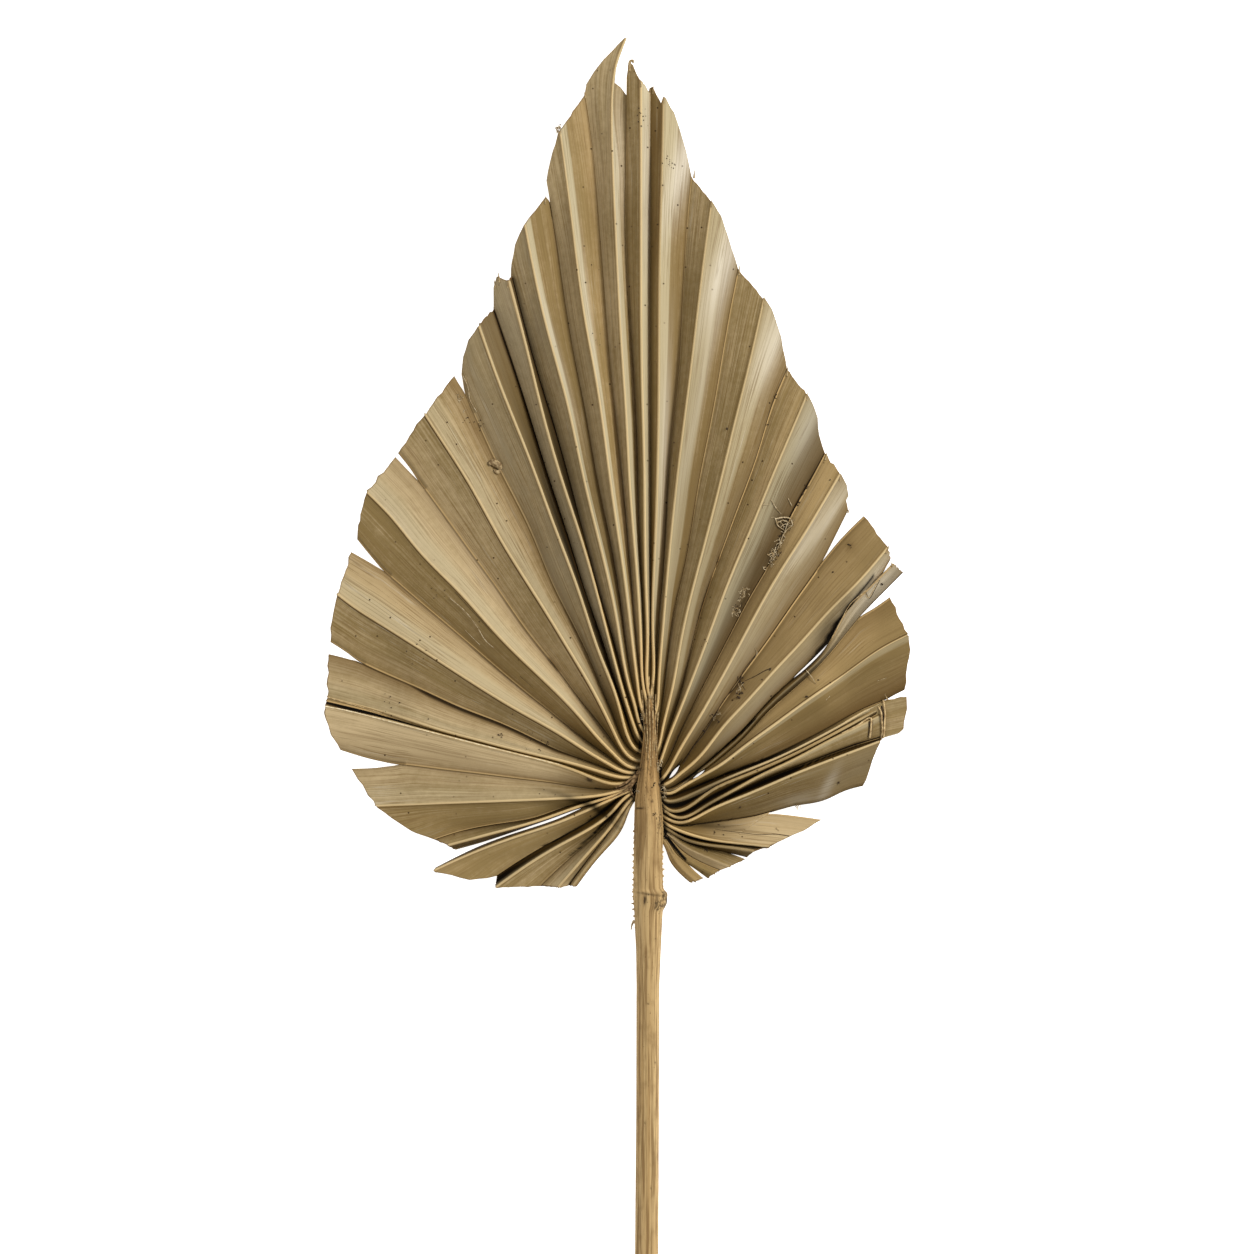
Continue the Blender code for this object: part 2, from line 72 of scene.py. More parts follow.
# A dense line through the points: cubic spans, each tangent weighted by the lengths beside it.
def curveThrough(points, steps=16):
    p = np.array(points, float)
    if len(p) == 2:
        return p[0] + np.linspace(0, 1, steps + 1)[:, None] * (p[1] - p[0])
    span = np.linalg.norm(np.diff(p, axis=0), axis=1)[:, None]
    slope = np.diff(p, axis=0) / span
    inner = (slope[:-1] * span[1:] + slope[1:] * span[:-1]) / (span[:-1] + span[1:])
    tangent = np.vstack([slope[:1], inner, slope[-1:]])
    t = np.linspace(0, 1, steps, endpoint=False)[None, :, None]
    start, end, length = p[:-1, None], p[1:, None], span[:, None]
    curve = (start * (1 + 2 * t) * (1 - t) ** 2 + tangent[:-1, None] * length * t * (1 - t) ** 2
             + end * t * t * (3 - 2 * t) - tangent[1:, None] * length * t * t * (1 - t))
    return np.vstack([curve.reshape(-1, p.shape[1]), p[-1:]])


# How far along a line each of its points lies.
def runLength(line):
    return np.concatenate([[0], np.cumsum(np.linalg.norm(np.diff(line, axis=0), axis=1))])


# The points of a line at these shares of its length.
def pointsAlong(line, shares):
    run = runLength(line)
    return np.stack([np.interp(shares * run[-1], run, column) for column in line.T], axis=1)


# Smooth noise from -1 to 1 along any array: a sum of sines with set random phases and wave counts.
def ripple(values, seed, longest, waves=5):
    draw = np.random.default_rng(seed)
    total = 0
    for wave in range(waves):
        turns = (1 + wave * 0.83) / longest * draw.uniform(0.8, 1.25)
        total = total + np.sin(2 * math.pi * (values * turns + draw.uniform())) / (1 + wave * 0.6)
    return total / 2.2


# The quads of a grid whose points run row by row: each joins a point to the next in its row and to the two
# beyond them. A closed grid joins the last point of a row to its first.
def gridFaces(rows, columns, closed=False):
    row = np.arange(rows - 1)[:, None]
    column = np.arange(columns if closed else columns - 1)[None, :]
    after = (column + 1) % columns
    quads = np.stack([row * columns + column, row * columns + after,
                      (row + 1) * columns + after, (row + 1) * columns + column], axis=-1)
    return quads.reshape(-1, 4)


# The faces of a closed tube: its rings, then a fan round the middle of its first ring and one of its last.
def tubeFaces(rings, sides):
    near = np.arange(sides)
    after = (near + 1) % sides
    hub, last = np.full(sides, rings * sides), (rings - 1) * sides
    return np.concatenate([
        gridFaces(rings, sides, closed=True)[:, ::-1],
        np.stack([hub, after, near, near], axis=1),
        np.stack([hub + 1, last + near, last + after, last + after], axis=1)])


# A mesh object from points and quads. uv and values are given for each point before equal points are welded.
def makePiece(name, points, faces, material, uv=None, values=None):
    points = np.asarray(points, float).reshape(-1, 3)
    _, first, index = np.unique(np.round(points, 7), axis=0, return_index=True, return_inverse=True)
    welded = index.reshape(-1)[faces]
    # a quad that lost a side to the weld turns into a triangle, and one that lost two goes
    whole = (np.diff(np.sort(welded, axis=1), axis=1) != 0).all(axis=1)
    corners, kept = welded[whole].tolist(), [faces[whole].ravel()]
    for face, source in zip(welded[~whole].tolist(), faces[~whole]):
        seen = [k for k in range(4) if face[k] not in face[:k]]
        if len(seen) == 3:
            corners.append([face[k] for k in seen])
            kept.append(source[seen])
    mesh = bpy.data.meshes.new(name)
    mesh.from_pydata(points[first].tolist(), [], corners)
    source = np.concatenate(kept)
    if uv is not None:
        layer = mesh.uv_layers.new(name="veins")
        layer.data.foreach_set("uv", np.asarray(uv, np.float32).reshape(-1, 2)[source].ravel())
    for key, value in (values or {}).items():
        attribute = mesh.attributes.new(key, "FLOAT", "CORNER")
        attribute.data.foreach_set("value", np.asarray(value, np.float32).reshape(-1)[source])
    mesh.validate()
    mesh.polygons.foreach_set("use_smooth", np.ones(len(mesh.polygons), bool))
    mesh.materials.append(material)
    made = bpy.data.objects.new(name, mesh)
    bpy.context.scene.collection.objects.link(made)
    return made


# A tube round a path: each ring is a circle in the plane across the path, its radius read along the way.
def tubePoints(path, radii, sides):
    path = np.asarray(path, float)
    along = np.gradient(path, axis=0)
    along /= np.linalg.norm(along, axis=1)[:, None] + 1e-12
    up = np.where(abs(along[:, 2:]) > 0.9, [[1.0, 0, 0]], [[0, 0, 1.0]])
    across = np.cross(along, up)
    across /= np.linalg.norm(across, axis=1)[:, None] + 1e-12
    lift = np.cross(across, along)
    turn = np.arange(sides) / sides * 2 * math.pi
    radii = np.broadcast_to(radii, len(path))[:, None, None]
    ring = np.cos(turn)[None, :, None] * across[:, None] + np.sin(turn)[None, :, None] * lift[:, None]
    return path[:, None] + radii * ring


# Many tubes in one mesh, each closed by a point at both ends.
def makeTubes(name, paths, radii, sides, material):
    points, faces, uv, count = [], [], [], 0
    for path, radius in zip(paths, radii):
        rings = tubePoints(path, radius, sides)
        points += [rings.reshape(-1, 3), rings[:1].mean(axis=1), rings[-1:].mean(axis=1)]
        run = np.repeat(runLength(path), sides) * 1000
        around = np.tile(np.arange(sides) / sides, len(rings))
        uv += [np.stack([around, run], axis=1), [[0.5, 0], [0.5, run[-1]]]]
        faces.append(tubeFaces(len(rings), sides) + count)
        count += len(rings) * sides + 2
    return makePiece(name, np.concatenate(points), np.concatenate(faces), material, np.concatenate(uv))


# One wire of a material. Sums, products and the like of wires add the Math nodes that work them out.
class Wire:
    def __init__(self, tree, socket):
        self.tree, self.socket = tree, socket

    # Any node: its settings first, then the values or wires of its sockets. Gives the wire of one output.
    def node(self, kind, settings=None, sockets=None, output=0):
        made = self.tree.nodes.new("ShaderNode" + kind)
        for key, value in (settings or {}).items():
            if key == "stops":
                ramp = made.color_ramp.elements
                while len(ramp) < len(value):
                    ramp.new(1.0)
                for stop, (place, colour) in zip(ramp, value):
                    stop.position, stop.color = place, (*colour, 1)
            else:
                setattr(made, key, value)
        for key, value in (sockets or {}).items():
            if isinstance(value, Wire):
                self.tree.links.new(value.socket, made.inputs[key])
            else:
                made.inputs[key].default_value = value
        return Wire(self.tree, made.outputs[output])

    def maths(self, operation, *values):
        return self.node("Math", {"operation": operation}, dict(enumerate(values)))

    def __add__(self, other):
        return self.maths("ADD", self, other)

    def __radd__(self, other):
        return self.maths("ADD", other, self)

    def __sub__(self, other):
        return self.maths("SUBTRACT", self, other)

    def __rsub__(self, other):
        return self.maths("SUBTRACT", other, self)

    def __mul__(self, other):
        return self.maths("MULTIPLY", self, other)

    def __rmul__(self, other):
        return self.maths("MULTIPLY", other, self)

    def __truediv__(self, other):
        return self.maths("DIVIDE", self, other)

    def least(self, other):
        return self.maths("MINIMUM", self, other)

    def most(self, other):
        return self.maths("MAXIMUM", self, other)

    def size(self):
        return self.maths("ABSOLUTE", self)

    # 0 below low, 1 above high, smooth between. With low above high it runs the other way.
    def step(self, low, high):
        return self.node("MapRange", {"interpolation_type": "SMOOTHSTEP"},
                         {"Value": self, "From Min": low, "From Max": high, "To Min": 0.0, "To Max": 1.0})

    # A colour this far on the way from one to the other.
    def blend(self, first, second):
        colours = {6: asColour(first), 7: asColour(second)}
        return self.node("Mix", {"data_type": "RGBA"}, {0: self, **colours}, output=2)


def asColour(value):
    return value if isinstance(value, Wire) else (*value, 1)


# One material, with the nodes that its patterns are made of.
class Finish:
    def __init__(self, name, roughness, specular):
        self.material = bpy.data.materials.new(name)
        self.material.use_nodes = True
        self.tree = self.material.node_tree
        self.shader = self.tree.nodes["Principled BSDF"]
        self.shader.inputs["Roughness"].default_value = roughness
        self.shader.inputs["Specular IOR Level"].default_value = specular
        self.start = Wire(self.tree, None)

    def read(self, name):
        return self.start.node("Attribute", {"attribute_name": name}, output="Fac")

    def place(self):
        return self.start.node("TexCoord", output="Object")

    def veins(self):
        return self.start.node("UVMap", {"uv_map": "veins"})

    def stretched(self, vector, scale):
        return self.start.node("VectorMath", {"operation": "MULTIPLY"}, {0: vector, 1: scale})

    def noise(self, vector, scale=1.0, detail=3.0, roughness=0.55):
        return self.start.node("TexNoise", {}, {"Vector": vector, "Scale": scale, "Detail": detail,
                                                "Roughness": roughness})

    # The distance to the middle of round spots, in cells of one over scale: cells drawn above keep have one.
    def spots(self, vector, scale, keep):
        distance = self.start.node("TexVoronoi", {"voronoi_dimensions": "2D"},
                                   {"Vector": vector, "Scale": scale}, output="Distance")
        draw = Wire(self.tree, distance.socket.node.outputs["Color"])
        return distance + (1 - draw.step(keep, keep + 0.01))

    # The surface's colour, its roughness where that changes, and its bump: height in metres.
    def put(self, colour, roughness, height, strength):
        self.tree.links.new(colour.socket, self.shader.inputs["Base Color"])
        if roughness is not None:
            self.tree.links.new(roughness.socket, self.shader.inputs["Roughness"])
        bump = self.start.node("Bump", {}, {"Strength": strength, "Distance": 1.0, "Height": height})
        self.tree.links.new(bump.socket, self.shader.inputs["Normal"])
        return self.material


# The pleats clockwise from the left of the stalk: name, y where the rib leaves the stalk, the rib from
# there outwards, and the fold that follows it.
pleats = [
    ("L17", 794.4, [(628.6, 808), (618, 830), (600, 851), (573, 885.5)],
        [(628, 806), (611, 830), (586, 862), (569, 885)]),
    ("L16", 792, [(627, 804), (612, 825), (590, 850.5), (558, 887)],
        [(626, 801), (615, 815), (595, 837), (565, 863), (541, 886)]),
    ("L15", 789.6, [(625, 797.5), (612, 812), (590, 828.5), (560, 845), (530, 863), (496, 887)],
        [(624, 795.5), (612, 805.5), (590, 821), (560, 837.5), (520, 861), (497, 876)]),
    ("L14", 787.3, [(623, 793.5), (610, 799.8), (590, 809), (560, 822), (520, 835.5), (459, 859), (434, 871)],
        [(622, 792.6), (612, 797.2), (600, 801.5), (590, 804.8)]),
    ("L13", 785, [(622, 791.8), (612, 796), (600, 800), (584, 804.7), (560, 813), (540, 820), (500, 831),
        (448, 845)],
        [(622, 791), (612, 794.7), (600, 798), (580, 803.5), (560, 809), (540, 817), (500, 824), (460, 832),
        (435, 840)]),
    ("L12", 782.5, [(630, 786.3), (622, 789.8), (610, 793.3), (590, 796.5), (560, 798.3), (520, 800),
        (440, 803), (376, 806)],
        [(630, 784.5), (620, 788), (610, 789.8), (595, 789.3), (560, 784), (520, 779), (480, 774),
        (440, 769.5), (402, 765)]),
    ("L11", 779, [(632, 781), (622, 783.5), (612, 783.8), (600, 780.5), (580, 772.5), (560, 765.5),
        (520, 755), (460, 740), (400, 724), (340, 709), (324, 706)],
        [(633, 778.5), (625, 780.5), (612, 779.8), (600, 776.2), (580, 769.3), (560, 763), (520, 753),
        (480, 742.8), (440, 732.5), (400, 720.5), (360, 710), (326, 702)]),
    ("L10", 775.5, [(634, 776.5), (628, 778), (620, 777), (600, 771.5), (560, 760), (520, 750.5), (480, 740),
        (440, 729.5), (400, 716.5), (360, 705.5), (327, 697)],
        [(635, 774.5), (628, 775), (618, 772), (605, 767.5), (590, 762), (560, 751.5), (540, 742), (500, 723),
        (460, 708), (420, 689), (362, 664)]),
    ("L9", 772, [(634, 773), (625, 772), (610, 764.5), (590, 753), (560, 733.5), (520, 711), (460, 674),
        (380, 623), (350, 604), (337, 594)],
        [(632, 770.5), (610, 757), (590, 743.5), (560, 720), (530, 696), (500, 671), (470, 645), (430, 611),
        (388, 575)]),
    ("L8", 767.5, [(633, 768), (628, 766), (614, 754), (600, 740), (580, 716.5), (540, 676), (500, 637),
        (460, 592), (420, 552), (390, 515), (367, 492)],
        [(632, 762), (615, 744), (600, 724.5), (580, 700), (560, 673), (530, 636), (500, 593), (470, 552),
        (422, 486)]),
    ("L7", 761, [(634, 760), (628, 755), (614, 732), (593, 690), (570, 651), (540, 602), (500, 538),
        (470, 484), (440, 437), (425, 414)],
        [(634, 752), (612, 713), (602, 690), (588, 655), (552, 584), (530, 530), (502, 475), (484, 437),
        (468, 400)]),
    ("L6", 752, [(636, 750), (632, 744), (622, 717), (614, 690), (600, 655), (580, 595), (555, 528),
        (528, 455), (500, 385), (479, 326)],
        [(637, 743), (629, 722), (618, 690), (604, 645), (586, 595), (567, 533), (548, 475), (528, 410),
        (494, 308)]),
    ("L5", 744, [(639, 738), (635, 728), (627, 705), (622.5, 690), (603, 617), (583, 545), (561.7, 480),
        (544.8, 422), (527, 350), (509, 281)],
        [(640, 732), (634, 712), (626, 688), (618, 657), (604, 612), (591, 566), (575, 503), (555, 430),
        (536, 369), (511.5, 276)]),
    ("L4", 735, [(641.5, 728), (635, 706), (630, 690), (617, 622), (600, 545), (584, 480), (567, 402),
        (546, 325), (525, 225)],
        [(642, 716), (637, 700), (633, 685), (622, 615), (611, 545), (597, 478), (585, 410), (575, 360),
        (562, 280), (552, 204)]),
    ("L3", 722, [(642.5, 711), (638, 688), (635, 665), (624, 575), (611, 487), (597, 385), (585, 320),
        (573, 230), (564, 160), (560, 131)],
        [(643.7, 703), (641, 685), (636, 640), (627, 530), (616, 420), (609, 350), (603, 270), (597, 195),
        (592, 140), (585, 94)]),
    ("L2", 710, [(645, 695), (641, 650), (636, 565), (630, 490), (626, 415), (621, 340), (616, 240),
        (612, 140), (612.5, 92), (617, 60), (626, 38)],
        [(646.3, 695), (644, 650), (641, 580), (639, 530), (636, 420), (631, 340), (625, 230), (626, 160),
        (628, 97)]),
    ("L1", 702, [(648, 690), (647.3, 650), (646, 590), (644, 460), (642, 385), (641, 240), (641, 81)],
        [(650.3, 680), (651, 640), (650.5, 590), (650, 480), (650, 220), (651, 98)]),
    ("R1", 702, [(652.6, 685), (653, 640), (655, 550), (659, 385), (660, 260), (663, 150), (664, 97)],
        [(655.3, 690), (657, 650), (663, 580), (669, 470), (678, 385), (683, 290), (688, 210), (691, 176)]),
    ("R2", 722, [(657, 708), (658.5, 690), (662, 640), (667, 580), (680, 455), (689, 385), (698, 310),
        (706, 245), (712, 202)],
        [(658.5, 725), (661, 712), (665, 680), (670, 640), (676.5, 600), (683, 575), (698, 485), (711, 420),
        (729, 315), (738, 269)]),
    ("R3", 756, [(659.5, 744), (662.2, 730), (665.8, 715), (672, 690), (682, 635), (694, 584), (713.5, 510),
        (735.5, 420), (748, 370), (764, 299)],
        [(662, 752), (665, 742), (672, 722), (680, 698), (690, 655), (702, 605), (718, 560), (741, 498),
        (757, 455), (772, 405), (787, 369)]),
    ("R4", 771, [(662, 757), (666, 745), (677, 717), (691, 682), (707, 640), (730, 578), (750, 531),
        (770, 482), (790, 435), (807, 395)],
        [(665, 766), (670, 757), (678, 738), (690, 712), (710, 673), (731, 633), (752, 593), (772, 560),
        (789, 519), (808, 485), (825, 453)]),
    ("R5", 784, [(665.5, 774.5), (674, 760), (682, 745.5), (694, 726), (706, 705.5), (735, 653), (758, 610),
        (783, 567), (805, 533), (820, 508), (840, 474)],
        [(667, 780.5), (676, 770), (688, 754), (702, 733), (713, 717), (738, 680), (766, 642), (795, 600),
        (818, 568)]),
    ("R6", 787.5, [(671, 781), (680, 773.7), (690, 765.6), (699, 757), (722, 728), (745, 703), (774, 671),
        (803, 640), (830, 610), (858, 582), (888, 547)],
        [(669, 788.5), (680, 782), (690, 775.5), (700, 768.5), (710, 761), (720, 751.5), (741, 732.5),
        (757, 715), (786, 685)]),
    ("R7", 788.3, [(669.5, 790.2), (691, 777), (706, 766.3), (723, 752.5), (743, 734.5), (758, 717.3),
        (789, 687.5), (809.5, 669.7), (829, 649.5), (844, 628.5), (861, 605), (882, 583), (897, 567)],
        [(670, 792), (680, 785.5), (692, 779), (707, 768.3), (724, 754.8), (744.5, 736.5), (759.5, 719.7),
        (790, 691.5), (812, 671.5), (832, 650), (846, 633), (857, 619)]),
    ("R8", 791.5, [(670, 793.7), (680, 787.7), (699, 777), (720, 765), (740, 749.5), (771, 727), (810, 698.5),
        (850, 671), (881, 649), (908, 635)],
        [(668, 796), (680, 791.5), (700, 784.5), (720, 777), (740, 769), (770, 757), (800, 743), (830, 728),
        (860, 711), (883, 700.7)]),
    ("R9", 796, [(664.5, 799.5), (669, 801), (676, 799.8), (690, 794.5), (715, 783), (740, 772.5),
        (770, 760.5), (800, 746.5), (830, 731), (860, 714.2), (882, 702.5)],
        [(665, 803), (671, 805.5), (680, 805), (695, 798.5), (715, 786.3), (740, 775), (770, 762.7),
        (800, 749), (830, 733.3), (860, 717), (882, 705.5)]),
    ("R10", 801, [(664.5, 806.5), (669, 810), (677, 811), (688, 807), (700, 798.5), (712, 790), (725, 783.5),
        (745, 775.5), (770, 765), (800, 751.3), (830, 735.7), (860, 719.7), (881.5, 708.5)],
        [(665.5, 809.5), (670, 812.5), (680, 814), (690, 810.5), (705, 801), (720, 792), (735, 784.5),
        (750, 777.5), (770, 768), (800, 753.7), (830, 738), (860, 722.5), (881, 712)]),
    ("R11", 807, [(666, 811.5), (672, 815.5), (680, 817.7), (690, 815), (705, 806), (720, 797.5),
        (740, 786.5), (758, 776.5), (780, 766.3), (800, 756.5), (830, 740.5), (860, 726), (880.5, 716)],
        [(666.5, 815), (673, 818.8), (681, 820.2), (690, 817.3), (705, 809), (720, 801), (745, 788.5),
        (770, 777), (800, 765.5), (830, 754.5), (860, 744), (884, 737.3)]),
    ("R12", 814, [(667, 818.5), (674, 821.7), (682, 822.8), (690, 820.3), (705, 812.5), (720, 805.2),
        (740, 797.2), (770, 784.5), (800, 771.7), (830, 760.3), (860, 749), (880, 741.5)],
        [(668, 822), (682, 825.3), (700, 824), (730, 820), (757, 816), (772, 814)]),
    ("R13", 820, [(668, 825), (680, 830.5), (700, 837), (730, 842), (770, 845.7)],
        [(669, 828), (680, 834), (700, 840.5), (730, 844.6), (767, 847.7)]),
    ("R14", 824.5, [(669.5, 830), (680, 836.8), (700, 843.3), (730, 847), (754, 850.5)],
        [(669.5, 832), (683, 841), (700, 847), (721, 851)]),
    ("R15", 828.5, [(669.5, 834.5), (683, 845), (700, 853.5), (730, 866)],
        [(669, 836.5), (679, 848), (697, 860), (720, 870)]),
    ("R16", 832.5, [(668.5, 839), (677, 851), (692, 863), (713, 874)],
        [(667.8, 841), (675, 852.5), (687, 862.5)]),
    ("R17", 836.5, [(667, 843), (673, 856), (683, 869), (696, 880.3)],
        [(665.2, 847), (669, 859), (678, 871), (690, 882)]),
]
firstFold = [(632, 803), (626, 818), (621.5, 829), (600, 855), (576, 886)]
firstFoldY, lastFoldY = 797.0, 839.5       # where the outermost folds leave the stalk
tipFold = (650, 706)                       # where the fold between the two sides starts, at the stalk's tip

# Where a fold is torn open, how each lip runs on from its end: the pleat before it, the pleat after.
splits = {
    "L14": ([(580, 810), (560, 819), (520, 832.5), (480, 847), (436, 868.5)],
        [(580, 807), (560, 814.5), (520, 828.5), (480, 842), (455, 849)]),
    "L12": ([(375, 768.5), (351, 769)], [(370, 759), (340, 750)]),
    "L10": ([(345, 658), (328, 654)], [(346, 652), (330, 642)]),
    "L9": ([(370, 563), (351, 552)], [(374, 560), (357, 539)]),
    "L8": ([(408, 471), (395, 457)], [(411, 469), (398, 453)]),
    "L7": ([(461, 389), (454, 376)], [(464, 385), (462, 374)]),
    "R5": ([(823.5, 558), (833, 540), (848, 510)], [(824.5, 559.5), (842, 538), (864, 516)]),
    "R6": ([(794, 676.4), (803, 668), (811, 660.2), (821, 650.2), (842, 628), (858, 611), (872, 592),
        (881, 577), (890.5, 560)],
        [(796, 678), (805.5, 670), (814, 662), (823.5, 652), (832, 638), (850, 606), (862, 595), (870, 587),
        (880, 577), (893, 563.5)]),
    "R7": ([(872, 603), (886, 589), (903, 572)], [(873, 609), (890, 597)]),
    "R8": ([(895, 695), (905, 690)], [(895, 699.5), (906, 697)]),
    "R12": ([(785, 806), (800, 805), (825, 801), (845, 790), (863, 786)], [(791, 816), (822, 820)]),
    "R14": ([(733, 853), (747, 856.6)], [(733, 855.2), (745, 859.6)]),
    "R16": ([(697, 869.5), (707.5, 877.5)], [(693.5, 870.5), (703, 878.5)]),
}

# The stalk from its tip between the ribs to the cut end: y, left edge, right edge on the paper, then the
# height of its middle and half its thickness in millimetres.
cutEnd = paper["top"] + (bladeHigh.y - stemLow.y) / square
stemRows = [
    (698, 649.3, 650.7, 6.3, 0.5),
    (706, 647.7, 652.3, 6.3, 1.0),
    (716, 646.3, 653.6, 6.3, 1.6),
    (728, 645.1, 654.8, 6.2, 2.2),
    (742, 643.6, 656.3, 6.1, 2.8),
    (756, 641.7, 657.2, 6.0, 3.3),
    (770, 639.6, 658.3, 5.9, 3.7),
    (780, 637.7, 659.2, 5.8, 3.9),
    (790, 636.1, 660.1, 5.7, 4.0),
    (800, 634.9, 661.3, 5.6, 4.1),
    (815, 634.3, 662.8, 5.5, 4.2),
    (830, 634.0, 663.4, 5.4, 4.2),
    (860, 633.6, 662.3, 5.3, 4.2),
    (888, 633.2, 663.2, 5.2, 4.2),
    (893, 633.0, 666.8, 5.2, 4.4),
    (904, 633.6, 666.3, 5.1, 4.2),
    (911, 634.2, 662.7, 5.0, 4.0),
    (930, 635.0, 661.8, 4.9, 3.8),
    (950, 636.0, 660.8, 4.8, 3.6),
    (985, 636.5, 659.3, 4.6, 3.4),
    (1110, 636.2, 659.0, 4.2, 3.3),
    (1254, 635.0, 658.3, 3.8, 3.3),
    (1400, 633.6, 657.2, 3.4, 3.3),
    (cutEnd - 50, 632.8, 656.7, 2.7, 3.3),
    (cutEnd - 3, 632.3, 656.5, 2.7, 3.3),
    (cutEnd, 633.3, 655.5, 2.7, 2.9),
]
# The blade, in metres unless a note says otherwise.
blade = {
    "rows": 136,               # points along each rib
    "crowding": 0.68,          # how much closer the rows lie at both ends
    "columns": (0.55, 1, 0.13, 0.27, 0.41, 0.56, 0.71, 0.86, 1),   # two on the rib, then shares of the panel
    "sheet": 0.0004,           # the leaf's thickness
    "stiffness": 1500.0,       # how stiffly the lines are drawn through the points on the paper
    "spanSteps": 16, "lineSteps": 150,     # points between two points on the paper, and on a whole line
    "atStem": (40, 45), "atRim": (6, 30),  # how much more the points there hold a line, over how many squares
    "atEnds": 1e4,             # how firmly a line's two ends hold
    "tearShape": 0.7,          # below 1 a long tear is as wide over most of its length
    "parting": (0.01, 0.05),   # shares of the way before and after a fold's end where the lips come apart
    "foldDepth": 0.0056,       # how far ribs stand above folds in the middle of the leaf
    "steepest": 2.0,           # how deep a fold is at most, in widths of its narrower panel
    "middleHeight": 0.0052, "sideDrop": 0.0030, "tipDrop": 0.0008,
    "lobe": (0.035, 0.095), "tip": (0.150, 0.255),       # where the leaf sinks to its sides and its tip
    "flatterLobes": 0.45, "flatterStem": 0.75, "flatterRim": 0.3,
    "stemPart": (0, 0.25), "rimPart": (0.8, 1),          # shares of a rib where its fold grows, and fades
    "fall": (0.95, 1.35),      # power of the fall before and after the rib: above 1 the crest is broad
    "fallStem": 0.6, "stemReach": (0.010, 0.045),        # the same near the stalk, and how far that reaches
    "beadHalf": 0.00021, "beadShare": (0.02, 0.12), "beadHeight": 0.00014, "beadStart": 0.04,
    "wrinkle": 0.00016, "twisting": 1.4,   # how far the panels buckle, and how much more they twist
    "buckle": 0.09, "twist": 0.05, "wrinkleWidth": 0.008,
    "cutStart": 0.82,          # share of the way from where the columns run to the rim's corners
    "sinkPart": (0.6, 0.8), "liftPart": (0.5, 0.9),      # shares over which a lip sinks and a pleat lifts
    "ragged": 0.00022,         # how uneven the cut rim is
    "tuck": 2.4,               # squares that the pleats run in under the stalk's sides
    "rests": ((346, 680), (884, 667)), "restFlat": 0.012, "restReach": 0.026,
    "veinWidth": 7.0,          # how wide the vein pattern of a panel is
}

# Pleats that stand out from the rest: how deep their folds are, how high their bead, how far they are lifted.
flatness = {
    "L17": (0.6, 0.2, 0), "L16": (1, 0.7, 0), "R14": (0.8, 0.4, 0), "R15": (0.45, 0, 0), "R16": (0.4, 0, 0),
    "R17": (0.3, 0, 0), "R7": (0.12, 0, 0.0009), "R9": (0.55, 0.5, 0), "R10": (0.5, 0.5, 0.0002),
    "R11": (0.6, 0.6, 0), "L11": (0.6, 0.8, 0), "L10": (0.8, 1, 0), "L5": (1.1, 1.2, 0.0003),
    "L6": (1, 1.2, 0),
}

# How far the lip after a rib sinks below its neighbour, from the tear outwards.
sinks = {"R6": 0.0022, "L11": 0.0008}

# Long thin tears that close again: fold, from, to, widest opening in squares.
windows = [
    ("R3", (711.5, 571), (694.5, 634), 1.6), ("R3", (721.5, 553), (716.5, 568), 1.2),
    ("L8", (521, 676), (536, 691), 1.3), ("R5", (681.5, 767), (669.5, 780.5), 5),
    ("R7", (705, 767), (690, 779.5), 4.4),
]

# The trimmed rim's corners from the rib's end to the fold's end: before the rib, after it.
rims = {
    "L14": ([(470, 879.5)], []),
    "L12": ([(390.5, 817.5), (411, 831)], []),
    "L11": ([(325, 718), (331, 735)], []),
    "L9": ([(331.3, 620)], [(341, 582)]),
    "L8": ([(360, 514)], []),
    "L6": ([(469, 341), (464, 357.5)], []),
    "L5": ([(505, 280), (500.5, 275), (497, 276), (494.3, 288)], []),
    "L4": ([(520, 234), (515.5, 245), (512, 262)], [(535, 211), (545.3, 197.5)]),
    "L3": ([(555.6, 144), (550.5, 162), (547.4, 179)], [(572.5, 112.5)]),
    "L2": ([(614, 49.5), (603.5, 60), (594.5, 71.5), (586.5, 84.5)],
        [(621.5, 50), (616, 63), (613.6, 83.5), (620.3, 87)]),
    "L1": ([(637, 75), (633, 66.5), (629.3, 62.5), (627.6, 76)], [(646.5, 88.5)]),
    "R1": ([(661.5, 104), (656.5, 94), (652.8, 87), (650, 89.5)], [(673.8, 113), (683.6, 144)]),
    "R2": ([], [(721, 216.5), (727.6, 237)]),
    "R3": ([], [(771.5, 309.5), (779, 330)]),
    "R4": ([], [(813, 404), (817, 419), (819, 435)]),
    "R5": ([], [(846.5, 485), (848.2, 494.5), (845, 500.5)]),
    "R8": ([], [(910.5, 650)]),
    "R13": ([(803, 830.5)], []),
    "R11": ([], [(883, 722), (881, 730)]),
}

# Lines that follow their points more closely than the rest.
softer = {"R6": 150.0, "R7": 150.0, "R9": 400.0, "R10": 400.0, "R11": 400.0}


# The rows' shares of the way from the stalk to the rim, closer together at both ends:
# t - c sin(2 pi t) / 2 pi.
def rowShares():
    t = np.linspace(0, 1, blade["rows"])
    return t - blade["crowding"] * np.sin(2 * math.pi * t) / (2 * math.pi)


def pleatSide(name):
    return -1 if name[0] == "L" else 1


# The point where a line comes out from under the stalk's side.
def besideStem(y, side):
    rows = np.array([row[:3] for row in stemRows])
    if side < 0:
        return np.interp(y, rows[:, 0], rows[:, 1]) + blade["tuck"], y
    return np.interp(y, rows[:, 0], rows[:, 2]) - blade["tuck"], y


